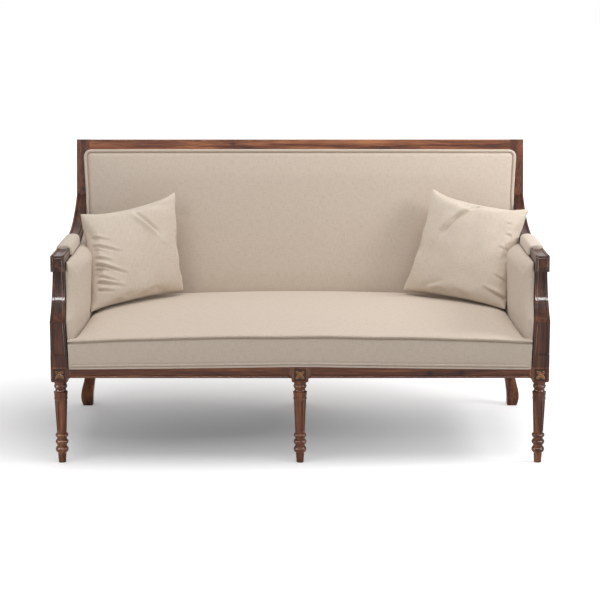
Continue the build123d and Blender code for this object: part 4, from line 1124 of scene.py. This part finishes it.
linen_thread = speckled("linen_sewing_thread", ("#b9a994", "#d2c4b0"), 0.001, Roughness=0.8)
welts = welt_tree()
welt_input = {item.name: item.identifier for item in welts.interface.items_tree if item.in_out == "INPUT"}
print("welt inputs", list(welt_input))


# %% Welts
def lay_welt(name, path, radius, stitch_offset):
    """Run the welt tree along a path and keep the mesh that it makes."""
    mesh = bpy.data.meshes.new(name + "_path")
    mesh.from_pydata([tuple(p) for p in path], [(i, i + 1) for i in range(len(path) - 1)], [])
    carrier = bpy.data.objects.new(name + "_path", mesh)
    scene.collection.objects.link(carrier)
    run = carrier.modifiers.new("welt", "NODES")
    run.node_group = welts
    values = {
        "Cord Linen": cover_linen, "Thread": linen_thread,
        "Cord Radius": radius, "Stitch Offset": stitch_offset,
    }
    for key, value in values.items():
        run[welt_input[key]] = value
    depsgraph = bpy.context.evaluated_depsgraph_get()
    made = bpy.data.meshes.new_from_object(carrier.evaluated_get(depsgraph))
    bpy.data.objects.remove(carrier)
    welt = bpy.data.objects.new(name, made)
    scene.collection.objects.link(welt)
    turn_outwards(welt)
    lay_cloth_map(made)
    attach(welt, "frame")
    print(name, len(made.polygons), "faces")


# Name, the edge that it follows, height over it, how far out, radius and place of the stitches
seat_welts = (
    ("double_welt_lower", seat_foot, 0.0042, 0.0015, 0.0038, (0, -0.0005, 0.0045)),
    ("double_welt_upper", seat_foot, 0.0126, 0.0025, 0.0038, (0, -0.001, 0.0052)),
    ("seat_piping", seat_seam, -0.0004, -0.0052, 0.0015, (0, 0.006, 0.0)),
)
seat_xs = [-0.716 + 1.432 * i / 240 for i in range(241)]
for name, edge, above, out, radius, stitch_offset in seat_welts:
    lay_welt(name, [(x, seat_front - out, edge(x) + above) for x in seat_xs], radius, stitch_offset)

# %% Welts of the back and the arms
welt_inset, welt_foot = 0.005, 0.46
straight_top, bend = back_head - back_corner, back_corner - welt_inset
left_path = []
for i in range(60):
    z = welt_foot + (straight_top - welt_foot) * i / 59
    left_path.append((-back_half_at(z) + welt_inset, z))
for i in range(1, 12):
    a = pi / 2 * i / 12
    left_path.append((-back_half + back_corner - bend * cos(a), straight_top + bend * sin(a)))
top_path = [(-0.715 + 1.43 * i / 160, back_head - welt_inset) for i in range(161)]
right_path = [(-x, z) for x, z in reversed(left_path)]
back_path = [on_back(x, z, back_out(x, z, 0.004) + 0.0012) for x, z in left_path + top_path + right_path]
lay_welt("back_welt", back_path, 0.0052, (0, 0.004, 0))

for side, word in sides:
    path = []
    for i in range(80):
        z = 0.40 + (0.604 - 0.40) * i / 79
        x = leg_inner + (z - leg_block_top) * arm_pad_lean - 0.004
        path.append((side * x, pad_front + support_sweep(z, support_ledge, support_reach) + 0.003, z))
    lay_welt(f"arm_welt_{word}", path, 0.0034, (-side * 0.003, 0.004, 0))

# %% [markdown]
# ## Carving
# Each front leg block has a sunk panel with a carved flower: four pointed leaves on the diagonals
# and a round boss. The solid has the flat shapes. Here every leaf gets a ridge on both sides of its
# vein, and the carving is drawn in a lighter gold-brown copy of the wood, a painted highlight, over
# the painted shade on the floor of the panel.

# %% Carving
# A lighter gold-brown copy of the wood for the carving, a painted highlight
carving_highlight_stops = ((0.4, "#5a3117"), (0.62, "#784a24"), (0.9, "#9c6c38"))
carving_highlight_wood = lacquered_wood("X", (), carving_highlight_stops, "beech_painted_highlight")
block_x, block_middle = 0.7535, 0.2885
panel_floor = front_y + 0.002
leaf_start, leaf_length, leaf_half = 0.0012, 0.0176, 0.0054
# Radius and height of the rings of the boss
boss_rings = ((0.0004, 0.0038), (0.0016, 0.0037), (0.0032, 0.0030), (0.0046, 0.0017), (0.0048, 0.0))
boss_steps = 16


def leaf_points(x, turn):
    """One leaf as a closed grid, with the vein along its middle."""
    rows, columns = 15, 9
    points = []
    for high in (1, 0):
        for r in range(rows):
            s = r / (rows - 1)
            half = leaf_half * sin(pi * s**0.8) ** 0.7 + 0.0002
            for c in range(columns):
                t = 2 * c / (columns - 1) - 1
                along, across = leaf_start + leaf_length * s, t * half
                vein = 0.0012 * exp(-((t / 0.22) ** 2))
                rise = 0.0015 + 0.0016 * sin(pi * s) ** 0.5 * (1 - t * t) - vein
                across_x = along * cos(turn) - across * sin(turn)
                up = along * sin(turn) + across * cos(turn)
                points.append((x + across_x, panel_floor - rise * high, block_middle + up))
    return points, rows, columns


def carve_flower(x, name):
    """Four leaves and the boss between them, on one leg block."""
    points, faces = [], []
    for quarter in range(4):
        leaf, rows, columns = leaf_points(x, pi / 4 + quarter * pi / 2)
        first, half = len(points), rows * columns
        faces += grid_faces(rows, columns, first) + grid_faces(rows, columns, first + half)
        for a, b in grid_rim(rows, columns):
            faces.append((first + a, first + b, first + b + half, first + a + half))
        points += leaf
    first = len(points)
    for radius, rise in boss_rings:
        for k in range(boss_steps):
            a = 2 * pi * k / boss_steps
            points.append((x + radius * cos(a), panel_floor - rise, block_middle + radius * sin(a)))
    faces += grid_faces(len(boss_rings), boss_steps, first, ring=True)
    faces += ladder(range(first, first + boss_steps)) + ladder(range(len(points) - boss_steps, len(points)))
    flower = cloth_piece(name, points, faces, carving_highlight_wood)
    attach(flower, "frame")
    print(name, len(faces), "faces")


for word, x in (("left", -block_x), ("middle", 0.0), ("right", block_x)):
    carve_flower(x, f"carving_{word}")

# %% [markdown]
# ## Studio
# The sofa stands in a white studio, on a pale floor that fades into the background. The world shows
# white to the camera and wherever it is mirrored or shines through, but lights the cloth more gently.
# For the same rays the floor adds some light of its own, little in an oval under the sofa and to its
# left and more with distance, so that it turns white while that oval of weak glow paints a soft shadow
# over the real shadow under the sofa.

# %% World and floor
def background_rays(tree):
    """1 for the rays that show the background itself: camera, gloss and transmission."""
    ray = add_node(tree, "ShaderNodeLightPath").outputs
    seen = ray["Is Camera Ray"]
    for kind in ("Is Glossy Ray", "Is Transmission Ray"):
        seen = add_node(tree, "ShaderNodeMath", {"operation": "MAXIMUM"}, {0: seen, 1: ray[kind]}).outputs[0]
    return seen


world = bpy.data.worlds.new("studio")
scene.world = world
world.use_nodes = True
air = world.node_tree
gentle, white = 0.40, 1.0
levels = {"To Min": gentle, "To Max": white}
strength = add_node(air, "ShaderNodeMapRange", levels, {"Value": background_rays(air)})
air.nodes["Background"].inputs["Color"].default_value = (1, 1, 1, 1)
air.links.new(strength.outputs[0], air.nodes["Background"].inputs["Strength"])

pale_floor, floor_tree, floor_shader = new_material("pale_studio_floor", Roughness=0.9)
floor_shader.inputs["Base Color"].default_value = linear("#e6e6e6")
floor_place = add_node(floor_tree, "ShaderNodeTexCoord").outputs["Object"]
# The glow is weakest in this oval under the sofa and to its left, which paints a soft shadow there
painted_shadow_oval = {"vector_type": "TEXTURE", "Location": (-0.45, 0.15, 0), "Scale": (1.5, 0.95, 1)}
in_oval = add_node(floor_tree, "ShaderNodeMapping", painted_shadow_oval, {"Vector": floor_place}).outputs["Vector"]
away = add_node(floor_tree, "ShaderNodeVectorMath", {"operation": "LENGTH"}, {0: in_oval})
fade = {"From Min": 0.25, "From Max": 1.6, "To Min": 0.11, "To Max": 0.95}
glow = add_node(floor_tree, "ShaderNodeMapRange", fade, {"Value": away.outputs["Value"]})
floor_shader.inputs["Emission Color"].default_value = (1, 1, 1, 1)
both = {0: background_rays(floor_tree), 1: glow.outputs[0]}
floor_glow = add_node(floor_tree, "ShaderNodeMath", {"operation": "MULTIPLY"}, both)
floor_tree.links.new(floor_glow.outputs[0], floor_shader.inputs["Emission Strength"])
floor_mesh = bpy.data.meshes.new("floor")
floor_mesh.from_pydata([(-14, -9, 0), (14, -9, 0), (14, 30, 0), (-14, 30, 0)], [], [(0, 1, 2, 3)])
floor_mesh.materials.append(pale_floor)
floor = bpy.data.objects.new("floor", floor_mesh)
scene.collection.objects.link(floor)
print("floor glows from", fade["To Min"], "to", fade["To Max"])

# %% [markdown]
# ## Lights and camera
# A broad soft light hangs overhead, a small one on the right shades the pillows and the back, and a
# weak one from the left fills. Lamps that gloss could see would show as grey squares on the lacquer,
# so they are hidden from it, and narrow cards that only gloss sees draw the thin bright lines instead.
# The camera has a long lens and looks down a little.

# %% Lights and camera
def area_light(name, place, aim, size, power):
    """A soft light of size (width, height) at a place, turned to what it aims at."""
    lamp = bpy.data.lights.new(name, "AREA")
    lamp.energy = power
    lamp.shape = "RECTANGLE"
    lamp.size, lamp.size_y = size
    holder = bpy.data.objects.new(name, lamp)
    holder.location = place
    holder.rotation_euler = (Vector(aim) - Vector(place)).to_track_quat("-Z", "Y").to_euler()
    holder.visible_camera = False
    holder.visible_glossy = False
    scene.collection.objects.link(holder)


def reflector(name, corners, strength):
    """A bright card that only gloss sees: it draws lights on the lacquer and leaves the cloth alone."""
    card, _, shader = new_material(name, Base_Color=(0, 0, 0, 1), Emission_Strength=strength)
    shader.inputs["Emission Color"].default_value = (1, 1, 1, 1)
    mesh = bpy.data.meshes.new(name)
    mesh.from_pydata(corners, [], [(0, 1, 2, 3)])
    mesh.materials.append(card)
    holder = bpy.data.objects.new(name, mesh)
    for way in ("camera", "diffuse", "transmission", "shadow", "volume_scatter"):
        setattr(holder, f"visible_{way}", False)
    scene.collection.objects.link(holder)


area_light("overhead", (0.1, -0.5, 3.2), (0.1, -0.3, 0), (3.4, 2.4), 57)
area_light("key", (1.55, -0.3, 1.3), (0.4, 0.3, 0.78), (0.45, 0.45), 9)
area_light("fill", (-2.2, -2.4, 1.6), (0, 0, 0.5), (1.4, 1.4), 8)
for side, word in sides:
    x = side * 1.75
    reflector(f"card_{word}", [(x, -1.4, 0.05), (x, -0.75, 0.05), (x, -0.75, 1.5), (x, -1.4, 1.5)], 22)
reflector("card_front", [(-2.2, -3.1, 2.42), (2.2, -3.1, 2.42), (2.2, -2.95, 2.6), (-2.2, -2.95, 2.6)], 52)

camera_distance, camera_height, camera_pitch = 5.641, 1.6165, 10.922842
lens = bpy.data.cameras.new("camera")
lens.sensor_width = 36
lens.lens = 111
lens.clip_end = 100
camera = bpy.data.objects.new("camera", lens)
camera.location = (0, front_y - camera_distance, camera_height)
camera.rotation_euler = (radians(90 - camera_pitch), 0, 0)
scene.collection.objects.link(camera)
scene.camera = camera
print("camera", tuple(round(v, 3) for v in camera.location))
